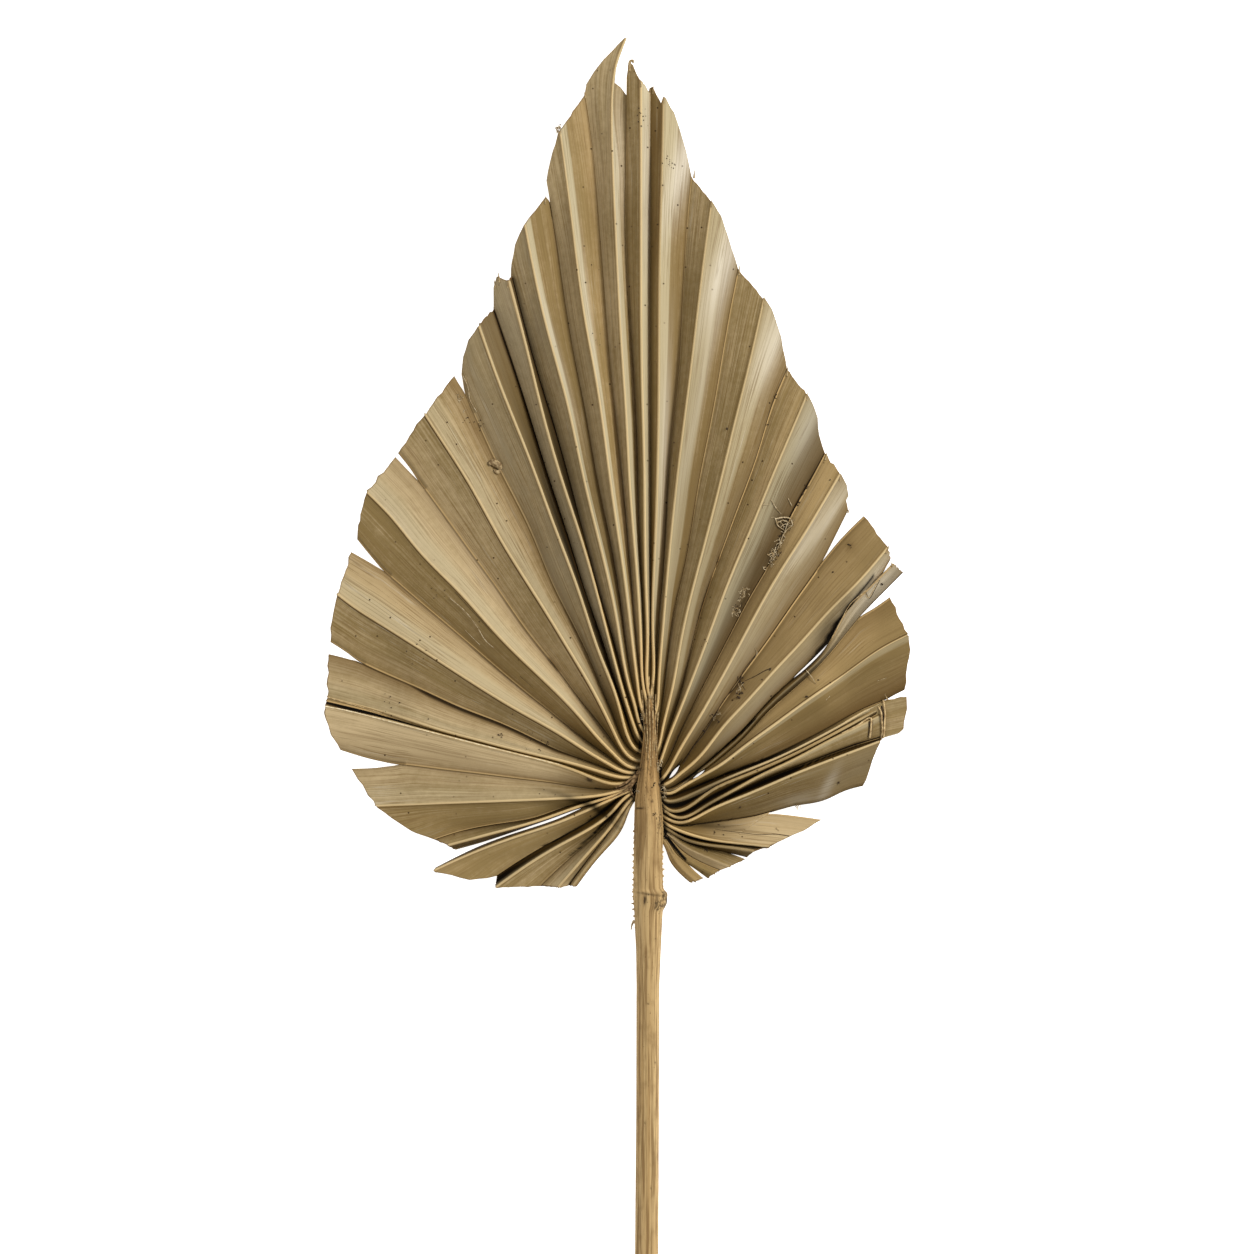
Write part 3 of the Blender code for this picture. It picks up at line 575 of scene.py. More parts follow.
# A smooth line close to the points: the least of their squared distances from it, which count most near
# the stalk and at the rim, plus the stiffness times the squared bend along the way.
def drawnLine(points, name):
    marks = np.array(points, float)
    rough = curveThrough(marks, blade["spanSteps"])
    if len(marks) < 4:
        return rough
    run, steps = runLength(rough), blade["lineSteps"]
    reach = run[::blade["spanSteps"]]
    place = reach / run[-1] * steps
    low = np.minimum(place.astype(int), steps - 1)
    pick = np.zeros((len(marks), steps + 1))
    pick[np.arange(len(marks)), low] = 1 - (place - low)
    pick[np.arange(len(marks)), low + 1] = place - low
    (atStem, nearStem), (atRim, nearRim) = blade["atStem"], blade["atRim"]
    weight = 1 + atStem * np.exp(-reach / nearStem) + atRim * np.exp((reach - run[-1]) / nearRim)
    weight[[0, -1]] = blade["atEnds"]
    bend = np.diff(np.eye(steps + 1), 2, axis=0)
    stiffness = softer.get(name, blade["stiffness"]) / (run[-1] / steps) ** 3
    system = (pick.T * weight) @ pick + stiffness * bend.T @ bend
    return np.linalg.solve(system, pick.T @ (weight[:, None] * marks))


# Both lips of a fold, row by row: alike as far as it holds together, then each its own line.
def foldLips(name, start, shared):
    shares = rowShares()
    if name not in splits:
        lips = [pointsAlong(drawnLine([start] + shared, name), shares)] * 2
    else:
        drawn = [drawnLine([start] + shared + branch, name) for branch in splits[name]]
        together = runLength(curveThrough([start] + shared))[-1]
        root = together / np.mean([runLength(line)[-1] for line in drawn])
        early, late = blade["parting"]
        lips = [pointsAlong(line, shares) for line in drawn]
        middle = (lips[0] + lips[1]) / 2
        apart = smoothStep(shares, root - early, min(root + late, 1.0))[:, None]
        lips = [middle + apart * (lip - middle) for lip in lips]
    for fold, first, last, wide in windows:
        if fold == name:
            near = [shares[np.argmin(np.hypot(*(lips[0] - spot).T))] for spot in (first, last)]
            t = np.clip((shares - min(near)) / (max(near) - min(near)), 0, 1)
            along = np.gradient(lips[0], axis=0)
            across = np.stack([along[:, 1], -along[:, 0]], axis=1) / np.linalg.norm(along, axis=1)[:, None]
            opening = (np.sin(math.pi * t) ** blade["tearShape"] * wide / 2)[:, None] * across
            lips = [lips[0] + opening, lips[1] - opening]
    return lips


# For all pleats at once: the fold before, the rib and the fold after, as points on the paper.
def pleatLines():
    lips = [foldLips("", besideStem(firstFoldY, -1), firstFold)]
    for before, after in zip(pleats, pleats[1:] + [None]):
        if before[0] == "L1":
            start = tipFold
        elif after is None:
            start = besideStem(lastFoldY, 1)
        else:
            start = besideStem((before[1] + after[1]) / 2, pleatSide(after[0]))
        lips.append(foldLips(before[0], start, before[3]))
    ribs = [pointsAlong(drawnLine([besideStem(y, pleatSide(name))] + points, name), rowShares())
            for name, y, points, _ in pleats]
    return np.array([lip[1] for lip in lips[:-1]]), np.array(ribs), np.array([lip[0] for lip in lips[1:]])


# Points on the rim from rib to fold, for columns at these shares of the way. One falls on each corner.
def rimPoints(rib, fold, corners, shares):
    line = np.array([rib] + corners + [fold], float)
    run = runLength(line) / runLength(line)[-1]
    spots = shares.copy()
    for mark in run[1:-1]:
        spots[np.argmin(abs(spots[:-1] - mark))] = mark
    return np.stack([np.interp(spots, run, line[:, axis]) for axis in (0, 1)], axis=1)


# One number for each pleat, as an array that spreads over its rows and columns.
def perPleat(table, other, part=None):
    rows = [table.get(name, other) for name, *_ in pleats]
    return np.array([row if part is None else row[part] for row in rows], float)[:, None]


# The blade's underside as arrays [pleat, row, column]. Across a pleat the height falls from the rib to the
# fold by a power of the share of the way, carries a round bead on the rib, and buckles along the panel.
def bladeSurface():
    before, rib, after = pleatLines()
    shares = rowShares()
    plain = (1, 1, 0)
    widths = [np.linalg.norm(rib - fold, axis=2) * square for fold in (before, after)]
    narrow = np.maximum(np.minimum(widths[0], widths[1]), 1e-5)
    aside = abs(toFrame(rib)[..., 0])
    own = blade["foldDepth"] * (1 - blade["flatterLobes"] * smoothStep(aside, *blade["lobe"]))
    own = own * (1 - blade["flatterStem"] * (1 - smoothStep(shares, *blade["stemPart"])))
    own = own * (1 - blade["flatterRim"] * smoothStep(shares, *blade["rimPart"]))
    own = np.minimum(own, blade["steepest"] * narrow) * perPleat(flatness, plain, 0)
    folds = [(own + np.concatenate([own[:1], own[:-1]])) / 2, (own + np.concatenate([own[1:], own[-1:]])) / 2]
    folds[1] = folds[1] + 2 * perPleat(sinks, 0) * smoothStep(shares, *blade["sinkPart"])
    lengths = np.array([runLength(line) for line in rib]) * square
    beadStart = smoothStep(shares, 0, blade["beadStart"])
    beadHeight = (blade["beadHeight"] * perPleat(flatness, plain, 1) * beadStart)[..., None]
    grids = []
    for side, fold, width, foldFall in zip((0, 1), (before, after), widths, folds):
        bead = np.clip(blade["beadHalf"] / np.maximum(width, 1e-5), *blade["beadShare"])[..., None]
        first, second, *rest = blade["columns"]
        across = [bead * first, bead * second] + [bead + (1 - bead) * share for share in rest]
        across = np.concatenate(across, axis=2)
        plan = rib[:, :, None] + across[..., None] * (fold - rib)[:, :, None]
        power = blade["fall"][side]
        power = power + (blade["fallStem"] - power) * (1 - smoothStep(lengths, *blade["stemReach"]))
        fall = 1 - 2 * across ** power[..., None]
        rise = np.where(fall > 0, fall * own[..., None], fall * foldFall[..., None]) / 2
        rise += beadHeight * np.clip(1 - (across / bead) ** 2, 0, 1)
        room = np.clip(width / blade["wrinkleWidth"], 0, 1)[..., None] * np.sin(math.pi * across)
        reach = smoothStep(shares, blade["cutStart"], 1.0)[:, None, None]
        for index, (name, *_) in enumerate(pleats):
            corners, seed = rims.get(name, ([], []))[side], 2 * index + side
            rim = rimPoints(rib[index, -1], fold[index, -1], corners, across[index, -1])
            plan[index] += reach * (rim - plan[index, -1])
            buckle = ripple(lengths[index], 100 + seed, blade["buckle"])[:, None]
            twist = ripple(lengths[index], 200 + seed, blade["twist"])[:, None] * (across[index] - 0.5)
            rise[index] += blade["wrinkle"] * room[index] * (buckle + blade["twisting"] * twist)
        grids.append([plan, rise, across, np.broadcast_to(width[..., None], across.shape)])
    none = np.zeros(own.shape + (1,))
    crest = [rib[:, :, None], own[..., None] / 2 + beadHeight, none, none]
    plan, rise, across, width = (np.concatenate([left[:, :, ::-1], middle, right], axis=2)
                                 for left, middle, right in zip(grids[0], crest, grids[1]))
    # the cut runs unevenly across the ends
    tips = plan[:, -1] - plan[:, -3]
    tips /= np.linalg.norm(tips, axis=2)[..., None] + 1e-9
    uneven = np.random.default_rng(5).normal(size=tips.shape[:2]) * blade["ragged"] / square
    uneven[:, [0, -1]] = 0
    plan[:, -1] += tips * uneven[..., None]
    flat = toFrame(plan)
    x, y = flat[..., 0], flat[..., 1]
    z = (blade["middleHeight"] - blade["sideDrop"] * smoothStep(abs(x), *blade["lobe"])
         - blade["tipDrop"] * smoothStep(y, *blade["tip"]) + rise)
    z += (perPleat(flatness, plain, 2) * smoothStep(shares, *blade["liftPart"]))[..., None]
    for spot in blade["rests"]:
        middle = toFrame(spot)
        press = 1 - smoothStep(np.hypot(x - middle[0], y - middle[1]), blade["restFlat"], blade["restReach"])
        z = z * (1 - press) + blade["sheet"] * press
    points = np.stack([x, y, np.maximum(z, blade["sheet"])], axis=-1)
    run = np.concatenate([np.zeros(x[:, :1].shape),
                          np.cumsum(np.linalg.norm(np.diff(flat, axis=1), axis=3), axis=1)], axis=1)
    sign = np.sign(np.arange(across.shape[2]) - across.shape[2] // 2)
    values = {
        "fromRib": across * width * 1000,
        "fromFold": np.where(sign == 0, np.mean(widths, axis=0)[..., None], (1 - across) * width) * 1000,
        "fromRim": (run[:, -1:] - run) * 1000,
        "fromStem": run * 1000,
        "side": np.broadcast_to(sign, across.shape),
        "ribLine": np.broadcast_to(np.minimum(perPleat(flatness, plain, 1), 1)[..., None], across.shape),
    }
    apart = np.linalg.norm(before[1:] - after[:-1], axis=2) * square * 1000
    apart = [np.concatenate([0 * apart[:1], apart]), np.concatenate([apart, 0 * apart[:1]])]
    values["apart"] = np.where(sign < 0, apart[0][..., None], apart[1][..., None])
    index = np.arange(len(pleats))[:, None, None]
    uv = np.stack([(index * 2 + sign * across) * blade["veinWidth"], run * 1000], axis=-1)
    return points, plan, values, uv


# How the panels are tinted, from -1 brown to 1 cream: before the rib, after it. Then the pale band after
# the rib: from, to and softness as shares of the panel, and how pale it is. Last how dark the line under
# the rib is.
# The pale band is a painted highlight on the lit side of the crest, and the line under the rib a painted
# shadow.
tints = {
    "L17": (0, 0.8, 0, 0.4, 0.3, 0.3, 0.3), "L16": (0.6, 0.9, 0, 0.4, 0.3, 0.3, 0.3),
    "L15": (0.1, 0.7, 0, 0.4, 0.3, 0.3, 0.3), "L14": (-0.2, 1.2, 0, 0.5, 0.3, 0.3, 0.3),
    "L13": (-1, 0, 0, 0.5, 0.3, 0, 0.2), "L12": (-0.2, 0.8, 0, 0.5, 0.3, 0.2, 0.6),
    "L11": (1.5, 0.2, 0, 0.5, 0.3, 0, 0), "L10": (0, 0.9, 0, 0.3, 0.3, 0.3, 0.3),
    "L9": (0.2, 1.1, 0, 0.45, 0.3, 0.6, 1), "L8": (-0.3, 1.3, 0, 0.4, 0.3, 0.6, 0.8),
    "L7": (0.4, 0.5, 0, 0.4, 0.3, 0.5, 1), "L6": (0, -0.9, 0, 0.06, 0.05, 0.5, 0.4),
    "L5": (0.6, -1.1, 0, 0.06, 0.05, 0.5, 0.1), "L4": (0.2, -0.4, 0, 0.2, 0.06, 1, 0.1),
    "L3": (0.6, -0.2, 0, 0.22, 0.07, 1, 0.1), "L2": (0.7, 0.1, 0, 0.46, 0.1, 1, 0.1),
    "L1": (0.1, 0.9, 0, 0.7, 0.1, 1, 0.1), "R1": (-0.4, -0.4, 0, 0.4, 0.06, 0.85, 0.1),
    "R2": (0.2, -0.3, 0, 0.56, 0.14, 0.7, 0), "R3": (0.2, -0.2, 0.05, 0.5, 0.16, 0.6, 0),
    "R4": (0, -0.5, 0.05, 0.4, 0.18, 0.8, 0), "R5": (0.2, -0.3, 0.1, 0.4, 0.2, 0.2, 0.1),
    "R6": (-0.4, -0.8, 0, 0.5, 0.3, 0.2, 0.2), "R7": (0.8, 0.3, 0, 1, 0.2, 0, 0),
    "R8": (-0.6, -0.5, 0, 0.12, 0.05, 0.5, 0.9), "R9": (-0.9, 1.6, 0, 1, 0.1, 0.8, 0.5),
    "R10": (-0.3, -0.3, 0, 0.25, 0.1, 0.5, 0.5), "R11": (-0.5, -0.2, 0, 0.25, 0.1, 0.5, 0.5),
    "R12": (-0.4, -0.6, 0, 0.2, 0.1, 0, 0.5), "R13": (1.6, -0.6, 0, 0.2, 0.1, 0.4, 0.3),
    "R14": (-0.3, -0.6, 0, 0.2, 0.1, 0.2, 0.3), "R15": (-0.2, 1.3, 0, 0.2, 0.1, 0, 0),
    "R16": (-0.2, -0.3, 0, 0.2, 0.1, 0, 0), "R17": (-0.5, -0.6, 0, 0.2, 0.1, 0, 0),
}

# What shows in the fold after a rib: how dark it is, how wide the dark is in millimetres, and how bright the
# edge of the next panel catches the light.
creases = {
    "L17": (0.9, 0.6, 0.3), "L16": (0.8, 0.6, 0.2), "L15": (1, 0.9, 0.3), "L14": (0.9, 0.4, 0.5),
    "L13": (0.9, 0.5, 0.6), "L12": (0.7, 0.5, 0.6), "L11": (1, 1.2, 1), "L10": (0.8, 0.7, 0.7),
    "L9": (0.6, 0.6, 0.6), "L8": (0.6, 0.6, 0.6), "L7": (0.5, 0.5, 0.5), "L6": (1, 1.5, 0), "L5": (1, 0.9, 0),
    "L4": (0.6, 0.5, 0.2), "L3": (0.5, 0.5, 0.8), "L2": (0.5, 0.5, 0.6), "L1": (0.4, 0.4, 0.2),
    "R1": (0.5, 0.5, 0.5), "R2": (0.7, 0.5, 0.8), "R3": (0.8, 0.5, 1), "R4": (0.9, 0.6, 1),
    "R5": (0.9, 0.5, 1), "R6": (0.8, 0.5, 0.5), "R7": (0.7, 0.4, 0.4), "R8": (0.9, 0.6, 0.8),
    "R9": (0.2, 0.3, 0.4), "R10": (1, 0.7, 0.4), "R11": (1, 0.8, 0.8), "R12": (1, 0.8, 0.8),
    "R13": (1, 0.6, 0.5), "R14": (0.9, 0.6, 0.4), "R15": (1, 0.6, 0.4), "R16": (0.8, 0.5, 0.4),
    "R17": (0.6, 0.4, 0.3),
}
# Where the dark in a fold widens: fold, from and to as shares of its length, millimetres more.
wider = [
    ("R6", 0.66, 0.97, 2.6), ("R4", 0.7, 0.96, 0.6), ("R3", 0.84, 0.99, 0.6), ("L6", 0.35, 1, 0.3),
    ("L5", 0.6, 1, 0.2), ("R10", 0.1, 0.75, 0.9), ("R11", 0.1, 0.95, 0.4), ("R13", 0.1, 0.9, 0.6),
    ("R8", 0.02, 0.4, 0.7), ("L11", 0.2, 1, 0.6), ("L10", 0.2, 0.75, 1.2), ("L9", 0.3, 0.62, 0.5),
    ("L8", 0.3, 0.6, 0.4), ("L14", 0, 0.5, 0.9), ("L15", 0.1, 0.9, 0.5), ("L13", 0.2, 0.9, 0.6),
]
# How far the painted shade close to the stalk is held back: before the rib, after it.
calm = {
    "R6": (0.6, 0.5), "R7": (0.3, 0.2), "R8": (0.5, 0.4), "R9": (0.1, 0.3), "R10": (0.1, 0), "R11": (0, 0.1),
    "R12": (0, 0.7), "R13": (0.8, 0.2), "R14": (0.2, 0.2), "R15": (0.9, 1), "R16": (1, 0.9), "R17": (1, 1),
    "L17": (0.9, 0.9), "L16": (0.8, 0.8), "L15": (0.4, 0.4), "L14": (0.6, 0.6), "L13": (0.3, 0.2),
    "L12": (0.5, 0.6), "L5": (0.5, 0.3), "L6": (0.6, 0.3),
}
# How much painted shade a panel takes on towards its fold: before the rib, after it.
fades = {
    "R1": (0.1, 0.35), "R2": (0, 0.35), "R3": (0, 0.5), "R4": (0.1, 0.75), "R5": (0.2, 0.6), "R6": (0.3, 0.8),
    "R8": (0.5, 0.95), "R9": (0.2, 0), "R10": (0, 0.3), "L9": (0.3, 0.25), "L8": (0.2, 0.35),
    "L7": (0.2, 0.6), "L10": (0.4, 0.7), "L6": (0.2, 0.1), "L5": (0.1, 0), "L4": (0.3, 0.1), "L3": (0.2, 0.2),
    "L11": (0.5, 0.5), "L13": (0.2, 0.3), "R13": (0.2, 0.3), "R12": (0, 0.1), "L12": (0.1, 0.2),
    "L1": (0, 0.1),
}

# The creases' three numbers where the edge before a rib is its own lip.
ownLips = [("R7", 0.1, 0.3, 0.8), ("R8", 0.2, 0.3, 0.8), ("L13", 0.2, 0.3, 0.6)]
# Panels that are warmer or greyer than the rest: before the rib, after it.
warmth = {
    "R3": (0.1, -0.3), "R4": (0.3, -0.7), "R5": (0.9, -0.6), "R6": (0.6, -0.6), "R7": (-0.5, -0.5),
    "R8": (0.6, 0.3), "R9": (0.3, 0.2), "R12": (0, -0.3), "R13": (0.3, 0.3), "L7": (0.1, 0.2),
    "L6": (-0.5, -0.2), "L5": (-0.5, -0.2), "L4": (-0.4, 0.1), "L3": (-0.2, 0.3),
    "R1": (0.1, -0.1), "L10": (0.3, 0.2), "L12": (0.3, -0.1), "L14": (0.4, -0.1), "L9": (0, 0.3),
    "R15": (0, 0.3), "R16": (0.2, 0), "R17": (0.7, 0.7),
}

# Panels in deep shade: before the rib by the stalk and by the rim, then after it.
shades = {
    "R4": (0.05, 0, 0.25, 0.2), "R6": (0.2, 0.2, 0, 0), "R7": (0.2, 0, 0.55, 0.15),
    "R8": (0.05, 0.08, 0.15, 0.15), "R9": (1, 0, 0, 0), "R10": (0, 0, 0.7, 0.3), "R11": (1, 0.2, 0, 0.1),
    "R12": (1, 1, 0.2, 0.15), "R13": (0, 0, 1, 0.9), "R14": (1, 0.8, 0.6, 0.3), "R15": (0.2, 0.1, 0, 0),
    "R16": (0, 0, 0, 0.1), "L15": (0, 0, 0.6, 0.6), "L13": (0.4, 0.4, 0.6, 0),
    "L6": (0, 0, 0.55, 0.15), "L5": (0, 0, 0.55, 0.3), "L7": (0, 0, 0.1, 0),
    "L14": (0, 0, 0.2, 0), "L4": (0, 0, 0.2, 0), "R3": (0, 0, 0.1, 0), "R2": (0, 0, 0.1, 0),
}

# Soft patches of painted sheen, of brown and of painted shade on the paper: x, y, half length, half width,
# turn in degrees against the clock, amount.
silver = [
    (684, 160, 66, 11, 74, 1.1), (727, 258, 66, 11, 72, 1), (772, 345, 50, 11, 70, 0.8),
    (712, 340, 60, 5, 76, 0.3), (808, 428, 34, 7, 66, 0.5), (832, 512, 40, 3.5, 58, 0.45),
    (817, 515, 46, 3, 58, 0.35), (805, 545, 40, 6, 55, 0.3), (880, 570, 26, 6, 48, 0.3),
    (885, 582, 30, 9, 48, 0.3), (862, 603, 34, 11, 48, 0.3), (646, 180, 90, 5, 90, 0.6),
    (618, 150, 80, 6, 92, 0.4), (828, 785, 20, 5, 62, 0.4), (800, 798, 22, 4, 10, 0.35),
    (618, 330, 140, 3, 92, 0.5), (590, 330, 120, 3, 97, 0.4), (550, 330, 90, 3, 106, 0.4),
    (664, 440, 90, 5, 88, 0.5), (690, 440, 70, 4, 78, 0.3), (455, 480, 40, 9, 122, 0.3),
    (392, 525, 40, 8, 132, 0.3), (485, 560, 50, 8, 126, 0.35), (430, 590, 50, 8, 136, 0.3),
]
stains = [
    (352, 708.3, 26, 2.4, -14.5, 0.9), (658, 130, 40, 5, 87, 1), (656, 235, 60, 5, 88, 0.7),
    (671, 113, 5, 4, 0, 0.5), (668, 165, 16, 3, 86, 0.35), (686, 420, 150, 7, 80, 0.5),
    (674, 560, 90, 6, 80, 0.6), (778, 382, 22, 5, 66, 0.5), (572, 250, 110, 5, 98, 0.3),
    (772, 540, 40, 8, 62, 0.7), (745, 610, 46, 7, 60, 0.6), (738, 690, 20, 8, 45, 0.6),
    (720, 722, 14, 8, 45, 0.6), (850, 547, 5, 7, 45, 0.7), (500, 700, 60, 8, 152, 0.3),
    (475, 430, 24, 6, 118, 0.4), (600, 700, 50, 10, 125, 0.3), (840, 480, 8, 6, 50, 0.4),
    (590, 775, 30, 5, 165, 0.5), (618, 700, 60, 14, 110, 0.3), (455, 755, 50, 5, 165, 0.4),
    (460, 822, 40, 6, 178, 0.3), (800, 715, 50, 6, 28, 0.35), (640, 76, 16, 4, 95, 0.4),
    (592, 740, 30, 6, 140, 0.3), (430, 612, 50, 4, 142, 0.5), (500, 668, 40, 4, 135, 0.4),
    (380, 570, 30, 5, 142, 0.35), (560, 420, 90, 6, 106, 0.3),
]
glooms = [
    (812, 474, 18, 3, 60, 0.5), (816, 655, 16, 4, 45, 0.5), (585, 803, 44, 3, 163, 0.6),
    (700, 789, 40, 2.5, 24, 0.6), (718, 800, 40, 2.5, 24, 0.6), (710, 826, 36, 3, -6, 0.6),
    (760, 566, 26, 4, 62, 0.3), (600, 812, 30, 2.5, 155, 0.4), (612, 822, 30, 2.5, 140, 0.4),
    (690, 842, 30, 2.5, -25, 0.4), (630, 782, 13, 4, 50, 0.8), (634, 792, 8, 2.5, 88, 0.7),
    (589.5, 779.8, 4, 1.2, -25, 0.9), (771, 560, 3, 3, 0, 0.8), (739, 682, 12, 3, 60, 0.5),
    (783, 523, 8, 5, -25, 0.8), (776, 550, 15, 4, 62, 0.7), (745, 598, 12, 2.5, 60, 0.4),
    (662, 782, 20, 2, 100, 0.6), (634, 786, 16, 2.2, 84, 0.5), (641, 742, 24, 1.8, 100, 0.5),
    (639, 765, 6, 1.5, 90, 0.5), (738, 612, 8, 3, 60, 0.4), (715, 722, 10, 3, 45, 0.4),
    (826, 628, 22, 7, 56, 0.55), (846, 600, 14, 5, 48, 0.3),
]


# The black painted shade of the gaps between the pleats: the pleat that one is painted on, or none for all,
# then the gap's line as x, y and half width.
gaps = [
    ("", [(690, 790, 0.6), (699, 785.3, 1.8), (715, 778.5, 2), (735, 771, 2), (750, 766, 1.2),
        (768, 758, 0.5)]),
    ("", [(664, 804, 1), (670, 805.5, 2.3), (680, 804, 2.8), (690, 800, 2.2), (700, 795, 1.6),
        (715, 788.3, 1), (745, 775.5, 0.6)]),
    ("", [(667, 812.5, 1), (676, 813.8, 1.6), (684, 812.5, 2), (700, 803.7, 2.6), (712, 797, 2.7),
        (725, 790.5, 2.5), (740, 782.7, 2.1), (755, 776.5, 1.2), (770, 770, 0.9), (800, 754, 0.7)]),
    ("", [(668, 816.5, 0.8), (676, 819.4, 1.4), (684, 820, 1), (700, 812, 1), (725, 800.5, 1.4),
        (740, 793.5, 1.8), (755, 787, 2.2), (770, 780.6, 2.6), (785, 775, 2.6), (800, 768.5, 1.7),
        (830, 757, 1), (860, 746, 0.8)]),
    ("", [(670, 821.5, 0.8), (676, 825, 1.2), (684, 826.5, 1), (700, 823.5, 0.9), (730, 820.5, 0.5)]),
    ("", [(671, 829, 0.8), (678, 832.5, 1.8), (688, 836.6, 2.2), (698, 838.4, 1.9), (710, 841, 1.1),
        (730, 843.3, 1), (754, 846, 1)]),
    ("", [(676, 834, 0.8), (684, 840, 1), (700, 844.4, 0.9), (715, 846.8, 0.6)]),
    ("", [(664, 832, 1), (668, 838, 1.1), (674, 846, 0.9), (680, 853.2, 0.8), (686, 859.5, 0.6)]),
    ("", [(663.5, 820, 1.3), (665, 830, 2.2), (666, 838, 1.4)]),
    ("", [(626, 793, 0.8), (616, 800, 2.1), (604, 809.8, 2.6), (590, 820.5, 1.6), (576, 829.8, 1.2),
        (560, 839, 1.2), (545, 846, 0.8)]),
    ("", [(624, 800.5, 1), (612, 813.4, 2), (604, 821.5, 1.8), (590, 836.4, 1.3), (578, 848, 1.2),
        (560, 866, 1), (545, 878, 0.8)]),
    ("", [(628, 790, 1), (618, 793.6, 1.6), (610, 797, 2), (600, 799.9, 1.8), (590, 801.3, 1.2),
        (580, 803.5, 0.8)]),
    ("", [(608, 799.5, 0.6), (613, 797.3, 1.3), (619, 794.3, 1.8), (625, 791, 1.5), (629, 788.8, 0.8)]),
    ("", [(611, 827.5, 0.5), (603, 838.3, 0.9), (590, 856, 1.3), (580, 869.7, 1.5), (571, 882, 1.6),
        (568, 887, 1.6)]),
    ("", [(628, 784.7, 0.8), (612, 789.4, 1.1), (598, 788, 0.9), (576, 783.6, 0.6)]),
    ("", [(625, 780.3, 0.9), (612, 780.2, 1.1), (600, 776.3, 0.7)]),
    ("", [(628, 774.3, 0.8), (615, 772.2, 1), (604, 767.4, 0.7)]),
    ("", [(633, 736, 1.1), (625, 716, 1.3), (617, 692, 1.2), (609, 672, 1.1), (599.5, 641, 1),
        (590, 612, 0.6)]),
    ("", [(637.5, 708, 1.2), (640, 717, 2), (642.5, 728, 1.3), (640.5, 741, 1.2), (638.5, 752, 1.1)]),
    ("", [(643, 692, 0.9), (640, 655, 0.8)]),
    ("", [(653.5, 728, 0.8), (655.3, 700, 0.9), (657.3, 670, 0.9), (659.5, 640, 0.9), (662, 608, 0.5)]),
    ("", [(662.5, 742, 0.7), (660, 756, 0.8)]),
    ("", [(632, 744, 0.8), (627, 736, 0.7)]),
    ("", [(668, 789, 0.9), (680, 783.3, 1), (692, 775, 1.4), (703, 765.7, 1.6), (712, 757.8, 1.9),
        (722, 749.8, 1.5), (735, 739, 1.3), (748, 726.8, 1.1), (757, 717.5, 0.6)]),
    ("", [(662, 783, 1), (668, 775, 1.4), (676, 766.5, 1), (683, 758, 0.5)]),
    ("", [(659.5, 757, 1.2), (660.5, 775, 1.7), (662.5, 790, 1.8), (663, 800, 1.4), (663.5, 814, 1.2)]),
    ("", [(636.5, 768, 0.8), (635, 780, 1.3), (634, 796, 1.8), (633, 801, 1.2)]),
    ("R6", [(808, 663, 1), (818, 651, 1.8), (826.5, 640.5, 3), (834.5, 627.5, 3.4), (843.5, 613.5, 2.8),
        (851.5, 602.5, 2.2), (858, 594, 2.2), (866, 584, 1.6), (873, 575, 0.8)]),
]


# How deep each point lies in a gap: 1 near its line, falling to 0 at 1.4 half widths from it.
def inGaps(plan):
    total = np.zeros(plan.shape[:-1])
    for name, marks in gaps:
        line = curveThrough(marks, 8)
        reach = line[:, 2].max() * 1.5
        low, high = line[:, :2].min(axis=0) - reach, line[:, :2].max(axis=0) + reach
        near = ((plan > low) & (plan < high)).all(axis=-1)
        if name:
            near &= np.array([pleat[0] == name for pleat in pleats])[:, None, None]
        away = np.linalg.norm(plan[near][:, None] - line[:, :2], axis=-1) / line[:, 2]
        total[near] = np.maximum(total[near], 1 - smoothStep(away.min(axis=1), 0.7, 1.4))
    return total


# The sum over the patches of amount times exp(-distance^2), the distance measured along and across each.
def painted(patches, plan):
    total = np.zeros(plan.shape[:-1])
    for x, y, long, short, turn, amount in patches:
        turn = math.radians(turn)
        dx, dy = plan[..., 0] - x, y - plan[..., 1]
        along = (dx * math.cos(turn) + dy * math.sin(turn)) / long
        across = (dy * math.cos(turn) - dx * math.sin(turn)) / short
        total += amount * np.exp(-along ** 2 - across ** 2)
    return total


# How the tables of the panels' tints are carried over the leaf.
tinting = {
    "narrowest": 0.5,          # millimetres of dark in every fold
    "easing": 0.08,            # share of the way over which the dark widens
    "edge": 0.45,              # how wide the dark is on the far side of a fold, of the near side's width
    "open": (0.4, 1.2), "openDark": 0.8,       # a fold open so far, in millimetres, loses so much of its dark
    "shadeTurn": (0.45, 0.95),                 # where the shade by the stalk gives way to that by the rim
    "calm": (0.7, 0.6),                        # for the pleats that the table leaves out
}


